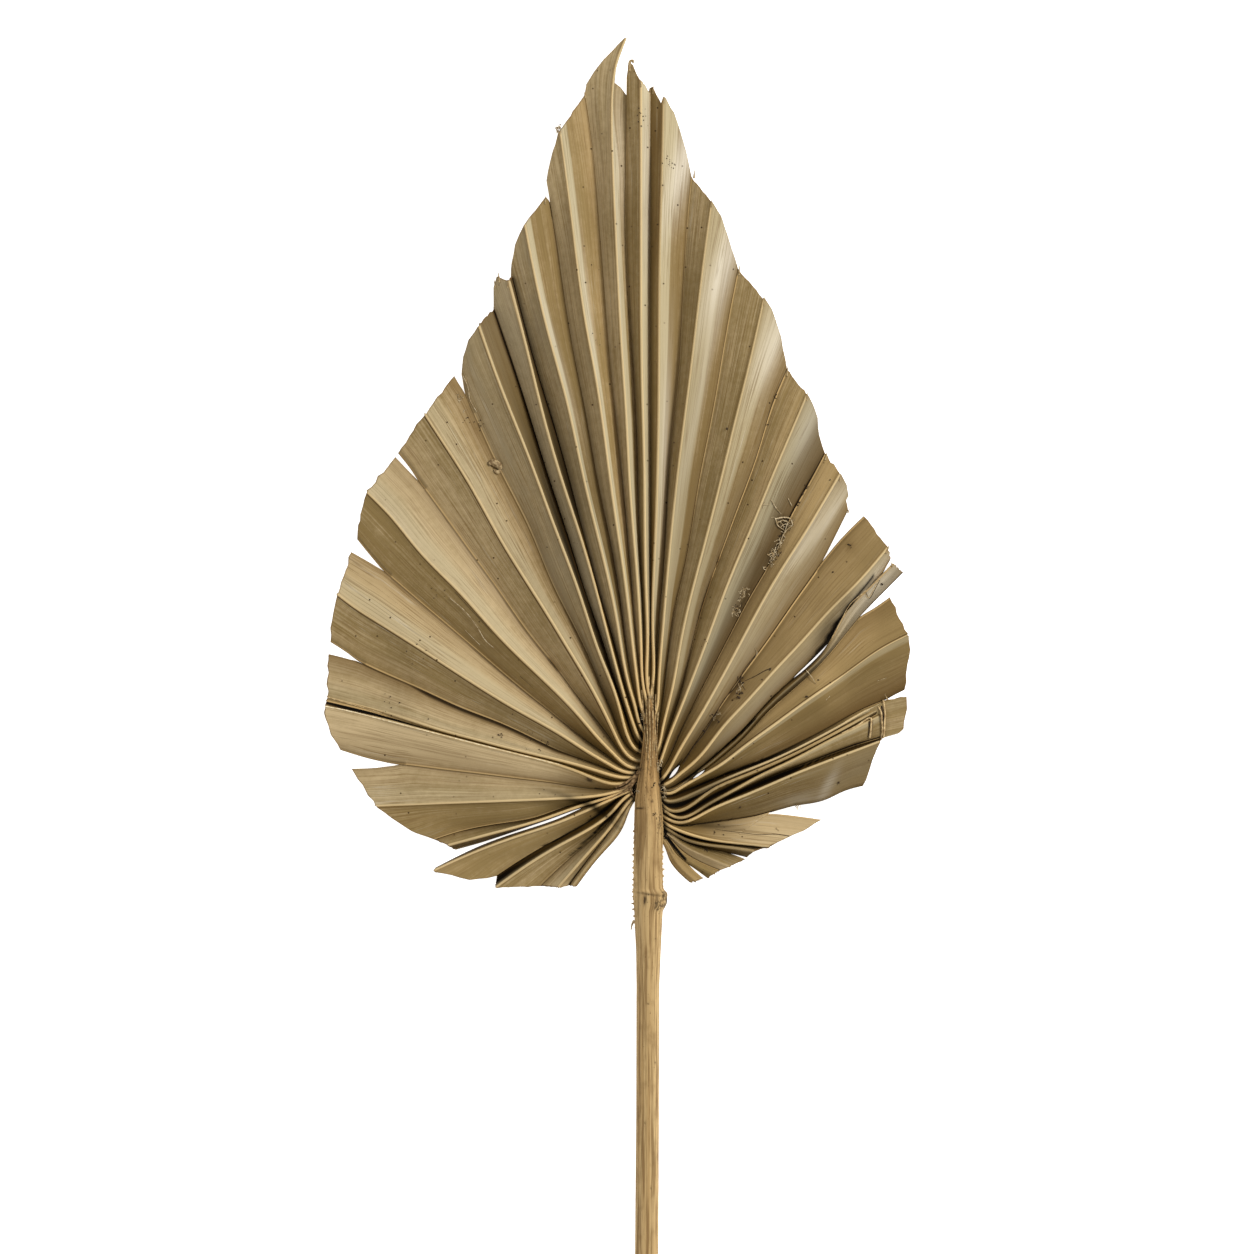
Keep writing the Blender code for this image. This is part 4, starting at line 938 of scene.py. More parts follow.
# Adds to the blade's values how each point is tinted and how its folds look.
def tintBlade(plan, values):
    sign, names = values["side"], [name for name, *_ in pleats]
    spread, shares = np.ones(sign.shape), rowShares()[None, :, None]

    # the two numbers of a table that stand for the panels before and after each rib
    def bySide(table, other, parts=(0, 1)):
        sides = [perPleat(table, other, part)[..., None] for part in parts]
        return np.where(sign < 0, *sides) * spread

    values["tone"] = bySide(tints, None)
    for part, name in ((2, "bandFrom"), (3, "bandTo"), (4, "bandSoft"), (5, "band"), (6, "under")):
        values[name] = perPleat(tints, None, part)[..., None] * spread
    after = [perPleat(creases, None, part)[..., None] for part in range(3)]
    after[1] = np.maximum(after[1], tinting["narrowest"]) * np.ones(shares.shape)
    ease = tinting["easing"]
    for name, first, last, more in wider:
        part = smoothStep(shares, first, first + ease) * (1 - smoothStep(shares, last - ease, last))
        after[1][names.index(name)] += more * part[0]
    before = [np.concatenate([part[:1], part[:-1]]) for part in after]
    before[1] = tinting["edge"] * before[1].min(axis=1, keepdims=True) * np.ones(shares.shape)
    for name, *numbers in ownLips:
        for part, number in zip(before, numbers):
            part[names.index(name)] = number
    whole = np.array([name not in ("R6", "R7") for name in names])[:, None, None]
    holds = 1 - tinting["openDark"] * smoothStep(values.pop("apart"), *tinting["open"]) * whole
    values["dark"] = np.where(sign < 0, before[0], after[0]) * spread * holds
    values["darkWide"] = np.where(sign < 0, before[1], after[1]) * spread
    values["lit"] = np.where(sign < 0, before[2], 0) * spread
    values["warm"] = bySide(warmth, (0, 0))
    byStem, byRim = (bySide(shades, (0, 0, 0, 0), parts) for parts in ((0, 2), (1, 3)))
    values["deep"] = byStem + (byRim - byStem) * smoothStep(shares, *tinting["shadeTurn"])
    values["calm"] = bySide(calm, tinting["calm"])
    values["fade"] = bySide(fades, (0, 0))
    # painted sheen: light on the waxy skin, on the panels after the ribs and on the whole of R7
    sheen = np.array([name == "R7" for name in names])[:, None, None] | (sign > 0)
    values["silver"] = np.clip(painted(silver, plan), 0, 1) * sheen
    values["stain"] = np.clip(painted(stains, plan), 0, 1)
    values["gloom"] = np.clip(painted(glooms, plan), 0, 1)
    values["gap"] = inGaps(plan)


# The leaf's colours.
leafFinish = {
    "khaki": (0.24, 0.164, 0.062), "cream": (0.51, 0.385, 0.212), "brown": (0.15, 0.087, 0.028),
    "rib": (0.62, 0.465, 0.24), "rust": (0.34, 0.205, 0.075), "lit": (0.56, 0.37, 0.155),
    "dark": (0.003, 0.0017, 0.0006), "depth": (0.042, 0.021, 0.005), "gold": (0.158, 0.09, 0.018),
    "silver": (0.66, 0.59, 0.46), "speck": (0.04, 0.021, 0.008), "rim": (0.18, 0.1, 0.036),
    "tan": (0.43, 0.29, 0.125), "grey": (0.33, 0.27, 0.17), "bandHighlight": (0.48, 0.4, 0.24),
    "crest": (0.64, 0.445, 0.2),
}


def leafMaterial():
    finish = Finish("driedLeaf", 0.55, specular=0.04)
    veins, place = finish.veins(), finish.place()
    fromRib, fromFold, fromRim, fromStem = (
        finish.read(name) for name in ("fromRib", "fromFold", "fromRim", "fromStem"))
    side, tone, deep, dark, darkWide = (
        finish.read(name) for name in ("side", "tone", "deep", "dark", "darkWide"))
    share = fromRib / (fromRib + fromFold + 0.01)
    broad = finish.noise(finish.stretched(veins, (0.20, 0.006, 1)), detail=2.0)
    streak = finish.noise(finish.stretched(veins, (0.75, 0.008, 1)), detail=4.0, roughness=0.65)
    hair = finish.noise(finish.stretched(veins, (1.5, 0.012, 1)), detail=2.0)
    fine = finish.noise(finish.stretched(veins, (3.2, 0.02, 1)), detail=3.0, roughness=0.7)
    cloud = finish.noise(place, scale=30.0, detail=4.0)
    grain = finish.noise(place, scale=420.0, detail=3.0, roughness=0.7)
    after = side.step(0.0, 0.6)
    hub = (1 - (fromRib + fromFold).step(0.8, 3.6)) * (1 - fromStem.step(65.0, 85.0))
    calmness = finish.read("calm")
    hub = hub.most(1 - fromStem.step(8.0, 38.0)) * (1 - calmness.step(0.8, 0.95) * 0.85)
    shady = hub * (1 - calmness)
    # the dry tissue: khaki to cream, with long streaks and hair lines
    pale = 0.26 + tone * 0.42 + (broad - 0.5) * 0.8 + (streak - 0.5) * 1.2 + (cloud - 0.5) * 0.7
    pale = pale + (fine - 0.5) * 1.3 + (grain - 0.5) * 0.6
    colour = pale.step(0.0, 1.0).blend(leafFinish["khaki"], leafFinish["cream"])
    browned = tone.step(-0.1, -1.2) * 0.45 + streak.step(0.54, 0.70) * 0.40
    colour = browned.blend(colour, leafFinish["brown"])
    warm = finish.read("warm") + (broad - 0.5) + (cloud - 0.5)
    colour = (warm.step(0.0, 1.0) * 0.75).blend(colour, leafFinish["tan"])
    colour = (warm.step(0.0, -1.0) * 0.75).blend(colour, leafFinish["grey"])
    stain = finish.read("stain") * (0.25 + streak.step(0.3, 0.62) * 0.7)
    colour = stain.blend(colour, leafFinish["brown"])
    # the pale band beside the rib, a painted highlight on the lit side of the crest, and patches of painted
    # sheen
    soft = finish.read("bandSoft")
    inside = ((share - finish.read("bandFrom")) / soft).step(-0.5, 0.5)
    inside = inside * (1 - ((share - finish.read("bandTo")) / soft).step(-0.5, 0.5))
    band = inside * after * finish.read("band") * (0.75 + broad * 0.4).least(1.0)
    colour = band.blend(colour, leafFinish["bandHighlight"])
    shine = finish.read("silver") * (0.25 + streak * 1.1)
    colour = shine.blend(colour, leafFinish["silver"])
    thin = (hair - 0.5).size()
    hairLine = (1 - thin.step(0.0, 0.035)) * (0.25 + cloud.step(0.4, 0.7) * 0.35)
    colour = hairLine.blend(colour, leafFinish["brown"])
    # thin painted glints of sheen along some streaks
    glint = (streak - 0.40).size()
    colour = ((1 - glint.step(0.0, 0.022)) * cloud.step(0.45, 0.7) * 0.35).blend(colour, leafFinish["silver"])
    # folds: painted soft shade and painted deep shade, a thin dark line, and a painted lit edge beside it
    reach = fromFold / darkWide
    colour = (finish.read("fade") * share.step(0.35, 1.05)).blend(colour, leafFinish["brown"])
    shade = (1 - fromFold.step(0.0, 2.4)) * (1 - hub) * (0.08 + dark * 0.32)
    colour = shade.blend(colour, leafFinish["brown"])
    shade = deep * (1 - after * 0.3 + after * share.step(-0.1, 0.4))
    colour = shade.least(1.0).blend(colour, leafFinish["dark"])
    line = 0.45 + streak.step(0.35, 0.6) * 0.3 + hub * 0.5 + deep * 0.3 + (darkWide - 0.5) * 0.4
    line = dark * line.least(1.0)
    colour = ((1 - reach.step(0.4, 1.2)) * line).blend(colour, leafFinish["depth"])
    black = (1 - reach.step(0.3, 0.8)) * line * (0.15 + dark.step(0.45, 0.9) * 0.85)
    colour = black.blend(colour, leafFinish["dark"])
    edge = fromFold.step(0.10, 0.25) * (1 - fromFold.step(0.50, 0.80)) * finish.read("lit") * (1 - hub)
    colour = (edge * (0.5 + streak * 0.9)).least(1.0).blend(colour, leafFinish["lit"])
    # close to the stalk the narrow folds are painted in shade and only the crests stay light
    gold = hub * fromRib.step(0.0, 0.22) * (0.85 - after * 0.1) * (1 - (streak - 0.5))
    colour = gold.least(1.0).blend(colour, leafFinish["gold"])
    shaded = (1 - after) * share.step(0.0, 0.35) + after * share.step(0.1, 0.5)
    colour = (shady * shaded).blend(colour, leafFinish["depth"])
    colour = (shady * share.step(0.3, 0.7)).blend(colour, leafFinish["dark"])
    colour = (hub * share.step(0.78, 1.0) * 0.9).blend(colour, leafFinish["dark"])
    # black painted shade in the gaps between the pleats
    colour = finish.read("gap").blend(colour, leafFinish["dark"])
    # the rib: a fine bright line, with a rusty border and a painted shadow line on the side before it
    slim = 1 - share.step(0.12, 0.30)
    before = side.step(-0.15, -0.8)
    under = before * fromRib.step(0.18, 0.30) * (1 - fromRib.step(0.50, 0.85)) * finish.read("under") * slim
    colour = (under * 0.85).blend(colour, leafFinish["depth"])
    border = before * (1 - fromRib.step(0.16, 0.42)) * slim * (1 - deep) * finish.read("ribLine")
    colour = (border * 0.8).blend(colour, leafFinish["rust"])
    crest = (1 - fromRib.step(0.04, 0.18 + after * 0.08)) * slim * finish.read("ribLine")
    crest = crest * (0.1 + fromStem.step(1.4, 4.0) * 0.9)
    tip = hub.blend(leafFinish["rib"], leafFinish["crest"])
    colour = (crest * (0.55 + streak * 0.6 + hub * 0.4).least(1.0)).blend(colour, tip)
    # patches of painted shade
    colour = (finish.read("gloom") * (0.55 + fine * 0.9)).least(1.0).blend(colour, leafFinish["dark"])
    # specks, and the browned cut
    spots = finish.spots(place, 150.0, 0.68)
    colour = ((1 - spots.step(0.02, 0.065)) * cloud.step(0.3, 0.6)).blend(colour, leafFinish["speck"])
    cut = (1 - fromRim.step(0.10, 0.45)) * 0.75
    colour = cut.blend(colour, leafFinish["rim"])
    rough = 0.50 + streak * 0.16 - shine * 0.12
    height = streak * 0.00016 + fine * 0.00006 + grain * 0.00003
    height = height + thin.step(0.0, 0.035) * 0.00003 + spots.step(0.0, 0.06) * 0.00010
    return finish.put(colour, rough, height, strength=0.8)


leafSkin = leafMaterial()


# A piece of the leaf: the faces of its underside, with the leaf's thickness built up from them.
def layLeaf(name, points, faces, uv, values):
    piece = makePiece(name, points, faces, leafSkin, uv, values)
    solid = piece.modifiers.new("sheet", "SOLIDIFY")
    solid.thickness, solid.offset = blade["sheet"], -1
    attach(piece, "root")
    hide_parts("blade")
    print(name + ":", len(piece.data.polygons), "faces")


points, plan, values, uv = bladeSurface()
tintBlade(plan, values)
oneGrid = gridFaces(*points.shape[1:3])[:, ::-1]
gridSize = points.shape[1] * points.shape[2]
halves = {"blade_left": slice(0, 17), "blade_right": slice(17, 34)}
for name, part in halves.items():
    faces = np.concatenate([oneGrid + pleat * gridSize for pleat in range(part.stop - part.start)])
    layLeaf(name, points[part], faces, uv[part], {key: value[part] for key, value in values.items()})


# The flat end of a pleat that lies behind the curled cut of the nested ones: three edges on the paper, then
# its height, ripple and outer lift in metres.
plate = {
    "upper": [(866, 712), (884, 702), (907, 696.5)], "lower": [(866, 744), (883, 738), (899, 733.5)],
    "outer": [(907, 696.5), (907.5, 709), (904.5, 722), (904, 729), (899, 733.5)],
    "height": 0.0011, "ripple": 0.0002, "lift": 0.0003, "count": 30,
    "values": {"fromRib": 4, "fromFold": 4, "fromStem": 90, "side": 1, "tone": -0.1, "bandSoft": 1,
               "darkWide": 1, "warm": -0.3},
    "long": 12, "veins": (90, 5),      # the pattern's length in millimetres, its start and its width
}


# The plate goes straight across from edge to edge, and adds the outer edge's bow.
def plateSurface():
    share = np.linspace(0, 1, plate["count"])
    upper, lower, outer = (pointsAlong(np.array(plate[edge], float), share)
                           for edge in ("upper", "lower", "outer"))
    across, along = share[None, :, None], share[:, None, None]
    bow = outer[None] - (outer[0] + (outer[-1] - outer[0]) * share[:, None])[None]
    spots = upper[:, None] + (lower - upper)[:, None] * across + bow * along
    flat = toFrame(spots)
    height = plate["height"] + plate["ripple"] * ripple(flat[..., 1], 41, 0.02)
    height = height + plate["lift"] * share[:, None] ** 2
    values = {key: np.full(height.shape, value) for key, value in plate["values"].items()}
    values["fromRim"] = np.broadcast_to((1 - share[:, None]) * plate["long"], height.shape)
    start, width = plate["veins"]
    uv = np.stack(np.broadcast_arrays(start + share[None] * width, share[:, None] * plate["long"]), axis=-1)
    return np.dstack([flat, height]), values, uv


platePoints, plateValues, plateUv = plateSurface()
layLeaf("plate", platePoints, gridFaces(plate["count"], plate["count"]), plateUv, plateValues)


# The stalk: lengths in metres, and places along it as y on the paper.
stem = {
    "rings": 560, "sides": 64,
    "spacing": (0.55, 0.45),                    # rings evenly spaced, and rings closer together at the tip
    "flutes": 0.00010, "topFlutes": 0.00030,    # depth of the lengthwise ridges, and of those near the tip
    "fluteDrift": 0.10, "fluteCount": 15, "fluted": (740, 800), "tipEnd": (699, 712),
    "upperSide": (-0.15, 0.1), "edge": (0.93, 0.99),       # of the ring's height, and of its half width
    "teeth": 0.0013, "toothLength": 7.0, "toothLimit": 0.15,
    "toothed": ((820, 840, 912, 935), (845, 855, 885, 890)),     # left, right: from none to all and back
    "roughness": 0.00020, "young": (730, 850),
}

# Raised and sunken places on the stalk, on the paper: x, y, half length, half width, turn in degrees and
# height in millimetres.
stemShapes = [
    (648, 891.5, 13, 1, -8, 0.35), (648, 895, 13, 1.5, -8, -0.15), (638, 900, 60, 1.1, 90, -0.45),
    (665, 899, 9, 3.5, 80, 0.35), (658, 906, 6, 3, 90, 0.25), (644, 899, 4, 0.9, 86, -0.5),
    (639, 808, 4, 0.9, 0, -0.5), (647, 820, 50, 1.2, 89, 0.12), (653, 860, 90, 1.3, 90, 0.15),
    (643, 1040, 160, 1.1, 90, -0.14), (654, 1100, 200, 1.2, 90, 0.12), (659, 822, 13, 3, 85, 0.18),
]
# Dark places, pale ones and rough ones: the same, with an amount.
# The dark places are slits, holes and grooves, and painted shade down the stalk's left side.
stemDark = [
    (639, 808, 4, 0.9, 0, 1), (652, 801, 1.1, 1.1, 0, 1), (644, 899, 3.5, 0.9, 86, 1),
    (638, 900, 60, 0.8, 90, 0.3), (634, 800, 40, 1.6, 88, 0.3), (661, 790, 30, 1.8, 88, 0.5),
    (665, 905, 4, 1.5, 60, 0.5), (648, 893.5, 12, 0.8, -8, 0.6), (640, 730, 26, 1.4, 92, 0.5),
    (651, 728, 22, 0.6, 90, 0.5), (646, 735, 26, 0.5, 88, 0.5), (655, 738, 22, 0.5, 92, 0.5),
    (645, 900, 5, 1.2, 80, 0.9), (656, 901, 8, 1, 72, 0.6), (667, 897, 4, 1.2, 80, 0.7),
    (660, 905, 1.2, 1.2, 0, 0.8), (657, 909, 1, 1, 0, 0.8), (664, 894, 3, 1.2, 70, 0.6),
    (666, 901, 3, 1, 100, 0.7), (646, 702, 14, 1.2, 96, 0.7), (654, 704, 14, 1, 86, 0.7),
    (642, 765, 22, 1.6, 84, 0.6), (657, 762, 24, 1.6, 95, 0.6), (648, 745, 18, 0.5, 92, 0.6),
    (652, 750, 18, 0.5, 90, 0.5), (637, 1180, 90, 1.5, 90, 0.2), (636, 1020, 60, 1.5, 90, 0.2),
    (648, 1003, 1.2, 0.8, 0, 0.8), (655, 1062, 0.8, 1.4, 0, 0.8), (645, 1122, 1.5, 0.7, 80, 0.8),
    (651, 1187, 0.8, 1, 0, 0.8),
]
stemPale = [
    (656, 1000, 150, 3, 90, 0.7), (657, 1150, 120, 3, 90, 0.7), (648, 850, 40, 3, 90, 0.35),
    (658, 904, 6, 3, 80, 0.6), (651, 890, 10, 1.2, -8, 0.5), (640, 806, 4, 1, 0, 0.5),
    (646, 960, 30, 3, 90, 0.3),
]
stemRough = [
    (664, 899, 9, 4, 85, 1.5), (646, 902, 5, 8, 90, 0.5), (659, 822, 13, 3.5, 85, 1), (658, 906, 8, 4, 90, 1),
    (648, 770, 40, 8, 90, 0.5),
]

stemFinish = {
    "tan": (0.4, 0.25, 0.098), "pale": (0.57, 0.4, 0.185), "brown": (0.175, 0.096, 0.031),
    "dark": (0.03, 0.016, 0.006), "honey": (0.4, 0.222, 0.07),
}


def stemMaterial():
    finish = Finish("driedStalk", 0.6, specular=0.15)
    veins = finish.veins()
    broad = finish.noise(finish.stretched(veins, (12.0, 0.010, 1)), detail=3.0)
    fine = finish.noise(finish.stretched(veins, (30.0, 0.035, 1)), detail=3.0, roughness=0.6)
    cloud = finish.noise(finish.stretched(veins, (6.0, 0.10, 1)), detail=4.0)
    dots = finish.noise(finish.stretched(veins, (40.0, 0.8, 1)), detail=1.0)
    rough = finish.read("rough")
    colour = broad.step(0.28, 0.78).blend(stemFinish["tan"], stemFinish["pale"])
    colour = (finish.read("pale") * 0.8).blend(colour, stemFinish["pale"])
    colour = (finish.read("young") * 0.75).blend(colour, stemFinish["honey"])
    colour = (cloud.step(0.48, 0.72) * 0.55).blend(colour, stemFinish["brown"])
    colour = (fine.step(0.44, 0.62) * 0.72).blend(colour, stemFinish["brown"])
    colour = ((dots + rough * 0.25).step(0.70, 0.80) * 0.6).blend(colour, stemFinish["dark"])
    # dark slits, holes and grooves, and painted shade down the left side
    colour = finish.read("dark").blend(colour, stemFinish["dark"])
    height = fine * 0.00034 + broad * 0.0002 + dots * rough * 0.0006
    return finish.put(colour, 0.5 + fine * 0.25, height, strength=0.9)


# The stalk as rings: an ellipse between the two edges, raised or sunken along its normal by lengthwise
# flutes, by the shapes above on its upper side, and by small teeth where it is seen edge on.
def stemSurface():
    rows = np.array(stemRows, float)
    share = np.linspace(0, 1, stem["rings"])
    even, closer = stem["spacing"]
    y = rows[0, 0] + (rows[-1, 0] - rows[0, 0]) * (even * share + closer * share ** 3)
    left, right, middle, half = (np.interp(y, rows[:, 0], rows[:, column]) for column in (1, 2, 3, 4))
    turn = np.arange(stem["sides"]) / stem["sides"] * 2 * math.pi + math.pi / stem["sides"]
    x = (left + right)[:, None] / 2 + (right - left)[:, None] / 2 * np.cos(turn)
    z = (middle[:, None] + half[:, None] * np.sin(turn)) / 1000
    plan = np.stack([x, np.broadcast_to(y[:, None], x.shape)], axis=-1)
    flat = toFrame(plan)
    drift = stem["fluteDrift"] * ripple(y[:, None], 3, 160)
    rise = stem["flutes"] * ripple(turn[None, :] + drift, 11, 0.9, 6)
    fluted = (1 - smoothStep(y, *stem["fluted"]))[:, None]
    rise = rise + stem["topFlutes"] * fluted * np.cos(stem["fluteCount"] * (turn[None, :] + drift))
    rise = rise * smoothStep(y, *stem["tipEnd"])[:, None]
    top = smoothStep(np.sin(turn), *stem["upperSide"])
    rise = rise + top * painted(stemShapes, plan) / 1000
    edge = smoothStep(abs(np.cos(turn)), *stem["edge"])
    bite = ripple(y[:, None] + 40 * (np.cos(turn) > 0), 21, stem["toothLength"], 6) - stem["toothLimit"]
    toothed = [smoothStep(y, a, b) * (1 - smoothStep(y, c, d)) for a, b, c, d in stem["toothed"]]
    toothed = np.where(np.cos(turn) < 0, *[part[:, None] for part in toothed])
    rise = rise + stem["teeth"] * edge * np.clip(bite, 0, 1) * toothed
    rough = painted(stemRough, plan) * top
    bumps = ripple(y[:, None] * 1.3 + turn * 9, 31, 4.0) * ripple(turn * 8 - y[:, None], 33, 5.0)
    rise = rise + rough * stem["roughness"] * bumps
    points = np.stack([flat[..., 0] + np.cos(turn) * rise, flat[..., 1],
                       np.maximum(z + np.sin(turn) * rise, 0.0)], axis=-1)
    along = (y - y[0]) * square * 1000
    uv = np.stack([np.broadcast_to(turn / (2 * math.pi), x.shape),
                   np.broadcast_to(along[:, None], x.shape)], axis=-1)
    values = {"dark": np.clip(painted(stemDark, plan), 0, 1) * top,
              "pale": np.clip(painted(stemPale, plan), 0, 1) * top,
              "rough": np.clip(rough, 0, 1), "young": (1 - smoothStep(y, *stem["young"]))[:, None] * top}
    return points, uv, values


rings, ringUv, ringValues = stemSurface()
ringCount, sideCount = rings.shape[:2]
caps = [rings[0].mean(axis=0), rings[-1].mean(axis=0)]
stemFaces = tubeFaces(ringCount, sideCount)
stemPiece = makePiece("stalk_fine", np.vstack([rings.reshape(-1, 3), caps]), stemFaces, stemMaterial(),
                      np.vstack([ringUv.reshape(-1, 2), [[0.5, 0]], [[0.5, ringUv[-1, 0, 1]]]]),
                      {key: np.append(value, [0, 0]) for key, value in ringValues.items()})
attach(stemPiece, "root")
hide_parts("stem")
print("stalk:", len(stemPiece.data.polygons), "faces")


# Fibres, nibs and crumbs lie on whatever is under them: their height is read straight down from above.
bladeFaces = np.concatenate([oneGrid + pleat * gridSize for pleat in range(len(pleats))])
stalkFaces = gridFaces(ringCount, sideCount, closed=True) + points[..., 0].size
ground = BVHTree.FromPolygons(np.concatenate([points.reshape(-1, 3), rings.reshape(-1, 3)]).tolist(),
                              np.concatenate([bladeFaces, stalkFaces]).tolist())


# The sheet's thickness is built up from these faces, so the leaf's upper side is that much higher.
def heightAt(x, y):
    spot, _, face, _ = ground.ray_cast(Vector((x, y, 0.1)), Vector((0, 0, -1)))
    if spot is None:
        spot, _, face, _ = ground.find_nearest(Vector((x, y, 0.004)))
    return spot.z + (blade["sheet"] if face < len(bladeFaces) else 0)


# A line over the leaf through points of the paper: x, y and the millimetres that it stands off what is below.
def overLeaf(marks, steps=6):
    marks = np.array(marks, float)
    line = curveThrough(marks, steps)
    flat = toFrame(line[:, :2])
    below = np.array([heightAt(x, y) for x, y in flat])
    return np.column_stack([flat, below + line[:, 2] / 1000])


# The light and the deep colour of each small finish, and what all of them share.
smallColours = {
    "fibre": ((0.56, 0.45, 0.28), (0.27, 0.185, 0.085)), "curl": ((0.6, 0.44, 0.22), (0.33, 0.215, 0.095)),
    "nib": ((0.4, 0.3, 0.15), (0.23, 0.145, 0.06)), "crumb": ((0.06, 0.032, 0.012), (0.018, 0.01, 0.004)),
    "strand": ((0.5, 0.36, 0.17), (0.21, 0.125, 0.048)), "cocoon": ((0.42, 0.31, 0.16), (0.17, 0.105, 0.045)),
    "web": ((0.29, 0.18, 0.078), (0.11, 0.06, 0.022)), "rim": ((0.9, 0.76, 0.5), (0.64, 0.49, 0.27)),
}
small = {"roughness": 0.7, "specular": 0.25, "grain": 900.0, "relief": 0.0002, "bump": 0.6}


# A dull material with fine grains of its light colour in the deep one.
def plainMaterial(name, light, deep):
    finish = Finish(name, small["roughness"], small["specular"])
    grain = finish.noise(finish.place(), scale=small["grain"], detail=4.0)
    return finish.put(grain.step(0.35, 0.65).blend(light, deep), None, grain * small["relief"], small["bump"])


# Loose fibres: middle x and y, half length and half width of the patch, its turn, how many, their length on
# the paper, how far they stand off and half their thickness in millimetres.
tufts = [
    (783, 523, 9, 5, -25, 8, 6, 0.6, 0.16), (782, 537, 7, 2.5, 60, 10, 5, 0.5, 0.16),
    (775, 552, 14, 3.5, 62, 34, 5, 0.5, 0.21), (771, 563, 4, 3, 40, 8, 4, 0.4, 0.16),
    (744, 594, 9, 4, 60, 16, 4, 0.3, 0.14), (736, 612, 8, 5, 60, 14, 4, 0.3, 0.14),
    (558, 130, 4, 3, 90, 22, 4, 0.5, 0.14), (769, 505, 6, 5, -50, 2, 8, 0.5, 0.12),
    (739, 690, 8, 3, 60, 8, 5, 0.3, 0.15), (716, 716, 8, 3, 45, 8, 4, 0.3, 0.15),
    (635, 790, 5, 2, 90, 6, 5, 0.3, 0.17), (659, 766, 7, 1.3, 90, 10, 4, 0.5, 0.22),
    (797, 806, 4, 2, 0, 3, 5, 0.3, 0.12), (462, 400, 10, 3, 122, 8, 4, 0.3, 0.14),
    (642, 716, 7, 1.5, 95, 6, 4, 0.3, 0.2), (664, 790, 14, 2, 100, 12, 4, 0.4, 0.16),
]
# Single fibres and scratches: points with their height, then half the thickness at both ends, in millimetres.
threads = [
    ([(806, 670, 0.3), (811, 676, 0.9), (816, 684, 0.3)], 0.17, 0.09),
    ([(799, 805, 0.2), (797, 809, 0.2), (801, 811, 0.2), (804, 810, 0.2)], 0.15, 0.09),
    ([(465, 630, 0.1), (472, 637, 0.15), (480, 645, 0.1)], 0.1, 0.1),
    ([(878, 681, 0.1), (887, 678, 0.1)], 0.1, 0.05),
    ([(826, 700, 0.1), (830, 696, 0.1)], 0.1, 0.07),
    ([(771, 500, 0.2), (776, 508, 0.6), (781, 514, 0.2)], 0.17, 0.1),
    ([(788, 498, 0.2), (792, 506, 0.5)], 0.17, 0.12),
    ([(776, 493, 0.2), (774, 500, 0.3)], 0.12, 0.07),
    ([(463, 376, 0.2), (468, 387, 0.3), (470, 400, 0.2), (477, 412, 0.3)], 0.2, 0.14),
    ([(775, 519, 0.2), (782, 517.5, 0.9), (790, 518.5, 1), (793, 525, 0.5)], 0.28, 0.2),
    ([(775.5, 519, 0.3), (777.5, 525, 0.7), (784, 530, 0.6)], 0.22, 0.16),
    ([(777, 523, 0.5), (783, 520.5, 1), (790, 523.5, 0.8)], 0.2, 0.15),
    ([(780, 527.5, 0.5), (785, 524, 0.9), (791, 526, 0.6)], 0.16, 0.13),
    ([(792.5, 525, 0.6), (786, 531, 0.8), (782, 538, 0.5), (780, 546, 0.3)], 0.27, 0.16),
    ([(790, 527, 0.6), (784.5, 532.5, 0.7), (781, 540, 0.4), (777.5, 550, 0.3)], 0.22, 0.14),
    ([(788, 522, 1), (786, 528, 0.9), (783.5, 535, 0.5)], 0.2, 0.14),
    ([(776, 521, 0.4), (781, 522.5, 0.8), (784, 527, 0.8)], 0.15, 0.12),
    ([(755, 648, 0.2), (757, 653, 0.4), (755, 658, 0.2)], 0.2, 0.12),
    ([(634, 921, -1), (632, 925, 0), (631, 930, 0)], 0.51, 0.17),
    ([(478, 628, 0.2), (466, 612, 0.25), (450, 598, 0.2)], 0.15, 0.12),
    ([(494, 648, 0.2), (486, 641, 0.25), (478, 628, 0.2)], 0.14, 0.15),
]
# In the same form, the curled cuts of the nested pleats, the edge of an inner one and of other thin layers.
curls = [
    ([(883.5, 700, 0.3), (884.6, 707, 0.5), (885.3, 714, 0.5), (884.8, 722, 0.5), (884.4, 731, 0.5),
        (883.5, 738, 0.3)], 0.34, 0.28),
    ([(878.5, 706.5, 0.3), (881.3, 712, 0.5), (882, 721, 0.5), (882.6, 731, 0.5), (881.5, 738, 0.3)], 0.32,
        0.26),
    ([(842, 733.5, 0.2), (856, 726.5, 0.35), (871.3, 718.6, 0.5), (871.2, 727, 0.5), (870, 737.5, 0.4)], 0.3,
        0.38),
    ([(326.8, 697.2, 0.1), (342.4, 701.8, 0.1), (361.6, 707.4, 0.1), (382, 713.8, 0.1)], 0.18, 0.12),
    ([(889, 562, 0.2), (878.5, 577, 0.2), (864, 592, 0.15), (850, 604.5, 0.2), (841, 621, 0.2),
        (832, 638, 0.1)], 0.13, 0.12),
    ([(865, 592, 0.1), (868, 598, 0.1), (874, 589, 0.1), (879, 580, 0.1)], 0.1, 0.1),
]
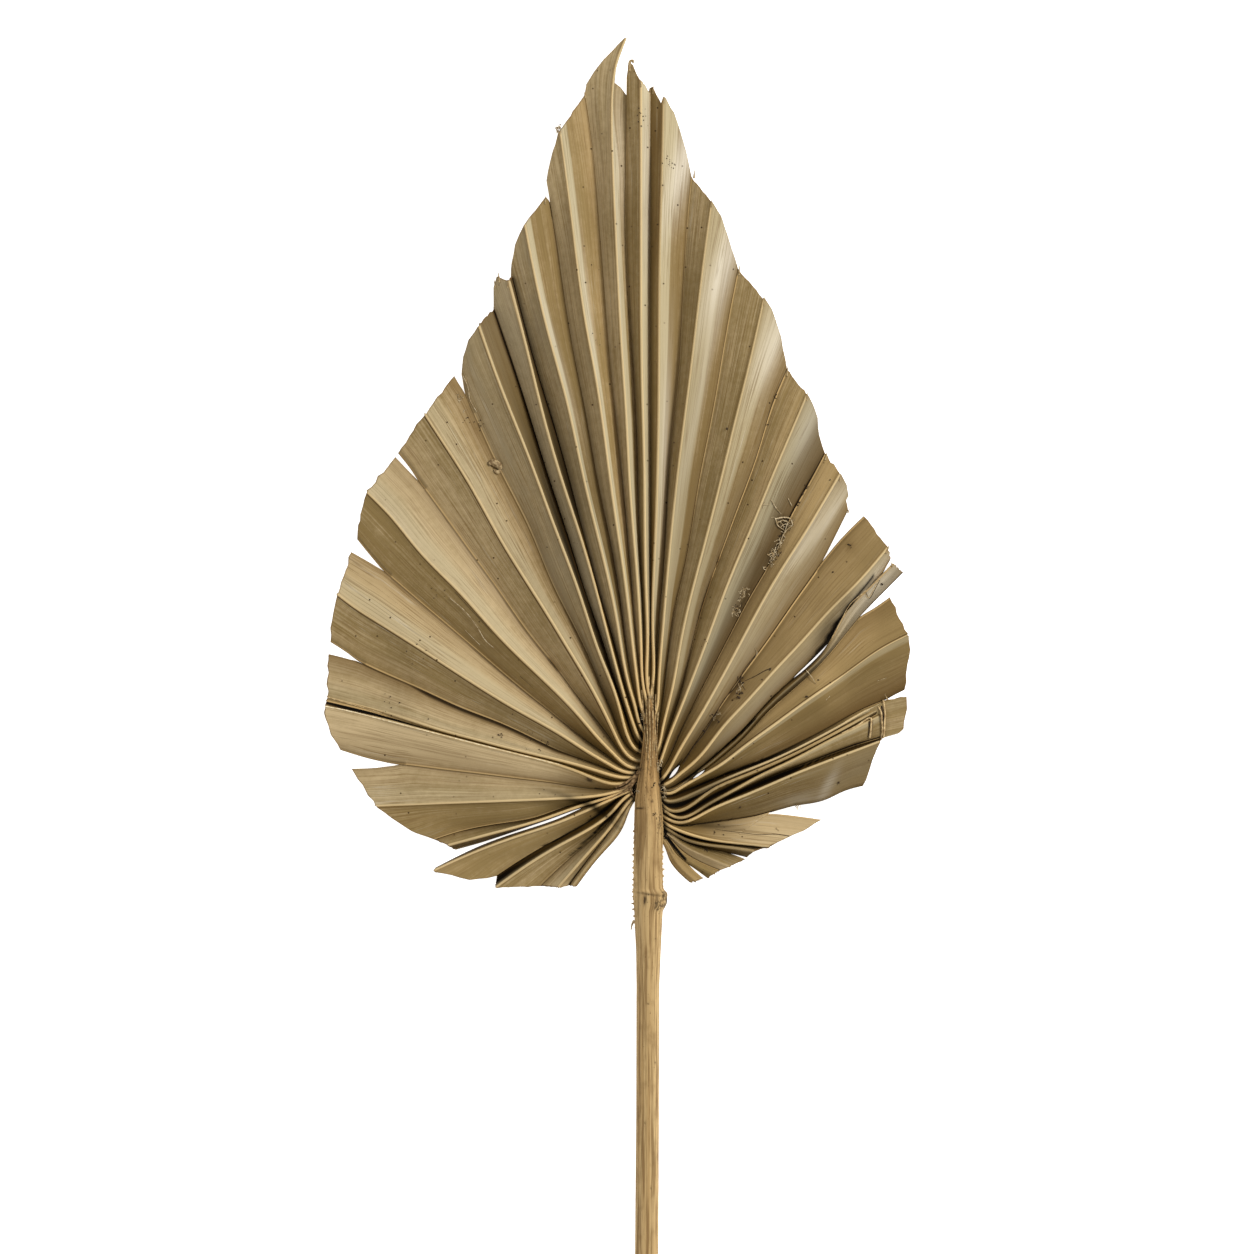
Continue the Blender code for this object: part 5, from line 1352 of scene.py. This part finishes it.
# The bright rim of a rib beside an open fold, and then cracks and dark lines of painted shadow beside edges.
brightRims = [
    ([(324.5, 706.4, 0.1), (346, 710.6, 0.15), (370, 716.6, 0.15), (394, 722.6, 0.15), (418, 728.8, 0.15),
        (442, 734.9, 0.15), (466, 741, 0.15), (490, 747.1, 0.15), (514, 753.2, 0.15), (538, 759.2, 0.15),
        (562, 765, 0.1)], 0.24, 0.15),
]
cracks = [
    ([(881.8, 706, 0.15), (883.4, 714, 0.15), (883.5, 724, 0.15), (883.2, 734, 0.15)], 0.3, 0.25),
    ([(869.5, 721.5, 0.15), (869.4, 729, 0.15), (868.4, 737, 0.15)], 0.26, 0.2),
    ([(745, 681, 0.1), (758, 674.5, 0.2), (764, 671, 0.2), (771, 668, 0.1)], 0.1, 0.16),
    ([(757, 653, 0.1), (748, 664, 0.15), (743, 671, 0.1), (740, 680, 0.15), (732, 691, 0.1), (723, 700, 0.15),
        (717, 712.5, 0.1)], 0.13, 0.18),
    ([(717, 712.5, 0.1), (711, 722, 0.1), (705.5, 731.5, 0.15), (693.5, 747, 0.1), (683, 764, 0.1)], 0.2,
        0.12),
    ([(704, 690, 0.1), (693, 708, 0.1), (682.5, 726, 0.1), (671, 751, 0.1)], 0.08, 0.13),
    ([(735, 684, 0.1), (728, 692, 0.1), (722, 697, 0.1)], 0.07, 0.09),
    ([(741, 683, 0.1), (745, 690, 0.1)], 0.1, 0.08),
    ([(592, 780, 0.02), (589.5, 779, 0.02), (587, 777.5, 0.02)], 0.35, 0.2),
    ([(715, 829, 0.02), (728, 831, 0.02), (745, 833, 0.02), (760, 834.5, 0.02), (775, 834, 0.02),
        (789, 836, 0.02)], 0.07, 0.12),
    ([(866, 592, 0.1), (869, 598.5, 0.1), (875, 589.5, 0.1), (880, 580, 0.1)], 0.08, 0.08),
    ([(873, 720, 0.05), (872.5, 728, 0.05), (871, 738, 0.05)], 0.09, 0.09),
    ([(455, 592, 0.02), (466, 604, 0.02), (480, 619, 0.02), (493, 634, 0.02)], 0.09, 0.1),
    ([(520, 676, 0.02), (528, 683, 0.02), (536, 691, 0.02)], 0.12, 0.08),
]
# The brown tissue that binds the left pleats to the stalk.
webs = [
    ([(640.5, 768.5, 0.4), (636, 774.5, 0.9), (630, 779.5, 1), (623.5, 784, 0.8), (616, 787.5, 0.3)], 0.55,
        0.35),
    ([(639, 772.5, 0.4), (634.5, 779, 1), (629, 784.5, 1.1), (622.5, 788.3, 0.9), (612, 791.5, 0.3)], 0.65,
        0.35),
    ([(636.5, 777.5, 0.4), (632.5, 784, 0.9), (628.5, 788.5, 1), (621, 793.5, 0.8), (611, 799, 0.3)], 0.55,
        0.3),
    ([(629.5, 788.5, 0.9), (631.5, 792, 0.9), (633.5, 796, 0.7)], 0.34, 0.3),
]
# Strands that run from the ribs down over the stalk's tip.
strands = [
    ([(642.2, 690, 0.2), (643.2, 712, 0.3), (644.8, 730, 0.25), (646.6, 752, 0.05)], 0.34, 0.18),
    ([(645.5, 688, 0.2), (646.4, 708, 0.3), (647.2, 730, 0.25), (648.6, 760, 0.05)], 0.3, 0.16),
    ([(648.6, 676, 0.2), (649.2, 700, 0.35), (649.8, 726, 0.25), (650.6, 766, 0.05)], 0.34, 0.16),
    ([(652.4, 680, 0.2), (652.6, 704, 0.35), (652.8, 728, 0.25), (652.6, 758, 0.05)], 0.32, 0.16),
    ([(655.8, 694, 0.2), (655.4, 712, 0.3), (655, 732, 0.25), (654.6, 750, 0.05)], 0.3, 0.16),
    ([(658, 712, 0.2), (657.2, 726, 0.3), (656.6, 742, 0.2), (655.8, 758, 0.05)], 0.26, 0.16),
]
# Nibs that stand out from the rim: from, to and width on the paper.
nibs = [
    ((694, 178), (694.5, 169.5), 3), ((739, 275), (739.5, 265), 3), ((787, 376), (788, 366), 3),
    ((711.5, 208), (711.5, 200), 2.5), ((764, 306), (764.5, 296), 2.5), ((806.5, 401), (807.5, 392), 2.5),
    ((825.5, 460), (827.5, 451), 3), ((839.5, 481), (841.5, 471.5), 2.2), ((886, 553), (889.5, 545), 3.4),
    ((664, 104), (664, 95), 2.6), ((650.5, 96), (650, 87), 2.8), ((653, 94), (653.5, 84.5), 2.2),
    ((641, 88), (641, 79), 2.4), ((499.5, 283), (498.5, 273), 3.6), ((495.5, 288), (494, 279), 2.6),
    ((508, 288), (509, 279.5), 2.6), ((545, 204), (546, 196), 3), ((585, 98), (584.5, 91.5), 2.4),
    ((466.5, 381), (465, 375), 2.4), ((888, 700), (885, 694), 2.2), ((848, 513), (850, 508), 2.2),
    ((892.5, 567), (891, 561), 2.4), ((776, 828), (779, 831), 2.4),
]
# A loose curl at the rim, and a little cocoon: lines like those above, the cocoon's with half its thickness.
loose = [
    ([(629.5, 72, 0), (629.5, 65, 0.2), (630.5, 61.5, 0.5), (632.8, 61, 0.6), (633.2, 63.5, 0.4)], 0.6, 0.35),
]
cocoon = [
    ([(489, 464, 0.6), (493, 462.5, 1), (498, 465, 1.1), (501, 469, 0.7)], 1.25),
    ([(494, 470, 0.5), (498, 472, 0.8), (500.5, 469, 0.9)], 0.7),
]
# Crumbs and dark specks: x, y, half their size, how far each patch spreads, and how many lie in it.
crumbs = [
    (738.7, 697.5, 1, 0, 2), (743, 683, 0.7, 1, 2), (714, 715.5, 0.8, 1, 2), (718, 720.5, 0.6, 0, 1),
    (704.5, 731, 0.7, 0, 1), (771, 696, 0.6, 0, 1), (770, 670, 0.6, 1, 2), (762, 679.5, 0.45, 0, 1),
    (818.5, 680, 0.5, 0, 1), (778, 522, 0.6, 1, 2), (787, 526, 0.7, 1, 2), (781, 528, 0.6, 1, 2),
    (706, 849, 0.45, 3, 8), (775, 551, 0.5, 5, 14), (781, 538, 0.5, 3, 6), (738, 606, 0.45, 5, 10),
    (803, 494, 0.9, 1, 2), (807, 488, 0.6, 1, 3), (798, 503, 0.5, 2, 3), (771, 560, 0.7, 0, 1),
    (740, 695, 0.6, 4, 7), (739, 678, 0.5, 4, 5), (713, 715, 0.5, 3, 4), (718, 720, 0.5, 3, 4),
    (704, 731, 0.5, 2, 3), (806.5, 696.8, 0.9, 0, 2), (818, 680, 0.4, 0, 1), (803, 494, 0.6, 0, 1),
    (807, 487, 0.4, 2, 4), (727, 429, 0.7, 0, 2), (777, 397, 0.4, 3, 4), (768, 424, 0.35, 1, 2),
    (833, 572, 0.45, 0, 1), (830, 480, 0.4, 0, 1), (882, 584, 0.6, 0, 1), (740, 807, 0.7, 0, 2),
    (838.6, 782.7, 0.6, 0, 2), (642, 117, 0.35, 9, 12), (670, 166, 0.3, 7, 14), (500, 735, 0.4, 4, 6),
    (545, 744, 0.4, 8, 10), (390, 708, 0.35, 9, 8), (430, 727, 0.35, 6, 7), (643, 724, 0.5, 6, 8),
    (660, 782, 0.5, 9, 14), (636, 772, 0.5, 6, 8), (478, 425, 0.35, 6, 9), (466, 420, 0.3, 5, 6),
    (440, 594, 0.3, 8, 6), (602, 134, 0.35, 0, 1), (559, 128, 0.4, 3, 8), (785, 525, 0.45, 6, 8),
    (776, 555, 0.45, 5, 9), (744, 600, 0.35, 8, 8), (665, 836, 0.45, 5, 8), (628, 800, 0.4, 4, 6),
    (850, 545, 0.35, 4, 5), (720, 830, 0.35, 10, 6), (885, 703, 0.4, 2, 5), (655, 815, 0.3, 5, 8),
    (594, 262, 0.3, 14, 3), (600, 330, 0.3, 26, 4), (689, 640, 0.3, 22, 5), (566, 540, 0.3, 30, 6),
    (520, 740, 0.3, 24, 6), (560, 800, 0.3, 20, 4), (700, 560, 0.3, 26, 5), (760, 760, 0.3, 22, 5),
    (420, 650, 0.3, 30, 6),
]
# How the small things are drawn, as shares of their length, lift and thickness. The ends of crumbs and of
# the cocoon are how far into a half wave the swell starts and stops, and a nib's lifts are in millimetres.
fibreShape = {"spread": 0.5, "bend": 0.35, "reach": (0.3, 0.6), "lift": (0.3, 1), "ends": 0.1, "taper": 0.4}
nibShape = {"lift": (0.0, 0.05, 0.1), "point": 0.12, "power": 0.8, "slimness": 2.6}
crumbShape = {"spread": 0.5, "reach": (0.4, 1.0), "lift": 0.08, "ends": 0.3, "thick": (0.4, 0.9)}
cocoonShape = {"ends": (0.35, 0.3), "power": 0.7}


# Bent threads strewn over a patch: each runs its own way and rises in the middle.
def tuftPaths(x, y, long, short, turn, count, length, lift, draw):
    turn = math.radians(turn)
    paths = []
    for _ in range(count):
        a, b = draw.normal(size=2) * fibreShape["spread"]
        middle = np.array([x + a * long * math.cos(turn) + b * short * math.sin(turn),
                           y - a * long * math.sin(turn) + b * short * math.cos(turn)])
        way = draw.uniform(0, 2 * math.pi)
        ahead = np.array([math.cos(way), math.sin(way)])
        bend, ends = fibreShape["bend"], fibreShape["ends"]
        aside = np.array([-ahead[1], ahead[0]]) * draw.uniform(-bend, bend) * length
        reach = length * draw.uniform(*fibreShape["reach"])
        paths.append([(*(middle - ahead * reach), ends),
                      (*(middle + aside), lift * draw.uniform(*fibreShape["lift"])),
                      (*(middle + ahead * reach), ends + lift * draw.uniform(0, 0.5))])
    return paths


# The paths and radii of lines with a thickness at both ends.
def threadPaths(lines, steps=6):
    paths = [overLeaf(marks, steps) for marks, *_ in lines]
    radii = [np.linspace(first, last, len(path)) / 1000 for path, (_, first, last) in zip(paths, lines)]
    return paths, radii


# A piece of small tubes that belongs to the leaf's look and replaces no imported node.
def addSmall(name, paths, radii, sides, finish):
    piece = makeTubes(name, paths, radii, sides, plainMaterial(name + "Finish", *smallColours[finish]))
    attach(piece, "root")
    print(name + ":", len(piece.data.polygons), "faces")


draw = np.random.default_rng(17)
paths, radii = [], []
for x, y, long, short, turn, count, length, lift, thick in tufts:
    for marks in tuftPaths(x, y, long, short, turn, count, length, lift, draw):
        paths.append(overLeaf(marks))
        radii.append(np.linspace(1, fibreShape["taper"], len(paths[-1])) * thick / 1000)
singlePaths, singleRadii = threadPaths(threads)
addSmall("fibres", paths + singlePaths, radii + singleRadii, 5, "fibre")

for name, lines, finish in (("curls", curls, "curl"), ("cracks", cracks, "crumb"), ("webs", webs, "web"),
                            ("bright_rims", brightRims, "rim")):
    addSmall(name, *threadPaths(lines), 6, finish)
addSmall("strands", *threadPaths(strands, 12), 8, "strand")

paths, radii = [], []
for start, end, wide in nibs:
    middle = (np.array(start) + end) / 2
    paths.append(overLeaf([(*place, lift) for place, lift in zip((start, middle, end), nibShape["lift"])]))
    taper = np.linspace(1, nibShape["point"], len(paths[-1])) ** nibShape["power"]
    radii.append(taper * wide * square / nibShape["slimness"])
loosePaths, looseRadii = threadPaths(loose)
addSmall("nibs", paths + loosePaths, radii + looseRadii, 6, "nib")

paths, radii = [], []
for x, y, size, spread, count in crumbs:
    for _ in range(count):
        middle = np.array([x, y]) + draw.normal(size=2) * spread * crumbShape["spread"]
        way = draw.uniform(0, 2 * math.pi)
        reach = np.array([math.cos(way), math.sin(way)]) * size * draw.uniform(*crumbShape["reach"])
        marks = [(*(middle - reach), 0), (*middle, crumbShape["lift"]), (*(middle + reach), 0)]
        paths.append(overLeaf(marks, 3))
        swell = np.sin(np.linspace(crumbShape["ends"], math.pi - crumbShape["ends"], len(paths[-1])))
        radii.append(swell * size * draw.uniform(*crumbShape["thick"]) / 1000)
addSmall("crumbs", paths, radii, 6, "crumb")

paths = [overLeaf(marks, 8) for marks, _ in cocoon]
radii = []
for path, (_, half) in zip(paths, cocoon):
    wave = np.linspace(cocoonShape["ends"][0], math.pi - cocoonShape["ends"][1], len(path))
    radii.append(np.sin(wave) ** cocoonShape["power"] * half / 1000)
addSmall("cocoon", paths, radii, 12, "cocoon")


# The pale floor, the two round lights and the camera that looks straight down: metres, watts and degrees,
# the sensor in millimetres.
studio = {
    "floor": (0.93, 0.93, 0.93), "floorSize": 6.0, "floorGlow": 0.85,
    "keyFrom": 28, "keyHeight": 36, "keyAway": 1.5, "keySize": 0.35, "keyPower": 18,
    "fillFrom": 205, "fillHeight": 55, "fillAway": 1.5, "fillSize": 1.2, "fillPower": 3,
    "target": (0.003, 0.06, 0.0), "world": 0.60,
    "cameraHeight": 2.2, "leafHeight": 0.004, "sensor": 36, "farthest": 20,
}

floorMaterial = Finish("paleFloor", 0.9, specular=0.1)
floorMaterial.shader.inputs["Base Color"].default_value = (*studio["floor"], 1)
floorMaterial.shader.inputs["Emission Color"].default_value = (1, 1, 1, 1)
floorMaterial.shader.inputs["Emission Strength"].default_value = studio["floorGlow"]
half = studio["floorSize"] / 2
floor = makePiece("floor", [(-half, -half, 0), (half, -half, 0), (half, half, 0), (-half, half, 0)],
                  np.array([[0, 1, 2, 3]]), floorMaterial.material)

world = bpy.data.worlds.new("studio")
bpy.context.scene.world = world
world.use_nodes = True
world.node_tree.nodes["Background"].inputs["Color"].default_value = (1, 1, 1, 1)
world.node_tree.nodes["Background"].inputs["Strength"].default_value = studio["world"]


# A round light that looks at the target from one side and so many degrees up.
def softLight(name):
    turn, up = math.radians(studio[name + "From"]), math.radians(studio[name + "Height"])
    light = bpy.data.lights.new(name, "AREA")
    light.shape, light.size, light.energy = "DISK", studio[name + "Size"], studio[name + "Power"]
    made = bpy.data.objects.new(name, light)
    target = Vector(studio["target"])
    way = Vector((math.cos(turn) * math.cos(up), math.sin(turn) * math.cos(up), math.sin(up)))
    made.location = target + studio[name + "Away"] * way
    made.rotation_euler = (target - made.location).to_track_quat("-Z", "Y").to_euler()
    bpy.context.scene.collection.objects.link(made)


softLight("key")
softLight("fill")

camera = bpy.data.cameras.new("camera")
camera.sensor_width = studio["sensor"]
camera.lens = studio["sensor"] * (studio["cameraHeight"] - studio["leafHeight"]) / (paper["view"] * square)
camera.clip_end = studio["farthest"]
cameraObject = bpy.data.objects.new("camera", camera)
middle = toFrame((paper["view"] / 2, paper["view"] / 2))
cameraObject.location = (middle[0], middle[1], studio["cameraHeight"])
bpy.context.scene.collection.objects.link(cameraObject)
bpy.context.scene.camera = cameraObject
bpy.context.scene.view_settings.view_transform = "Standard"
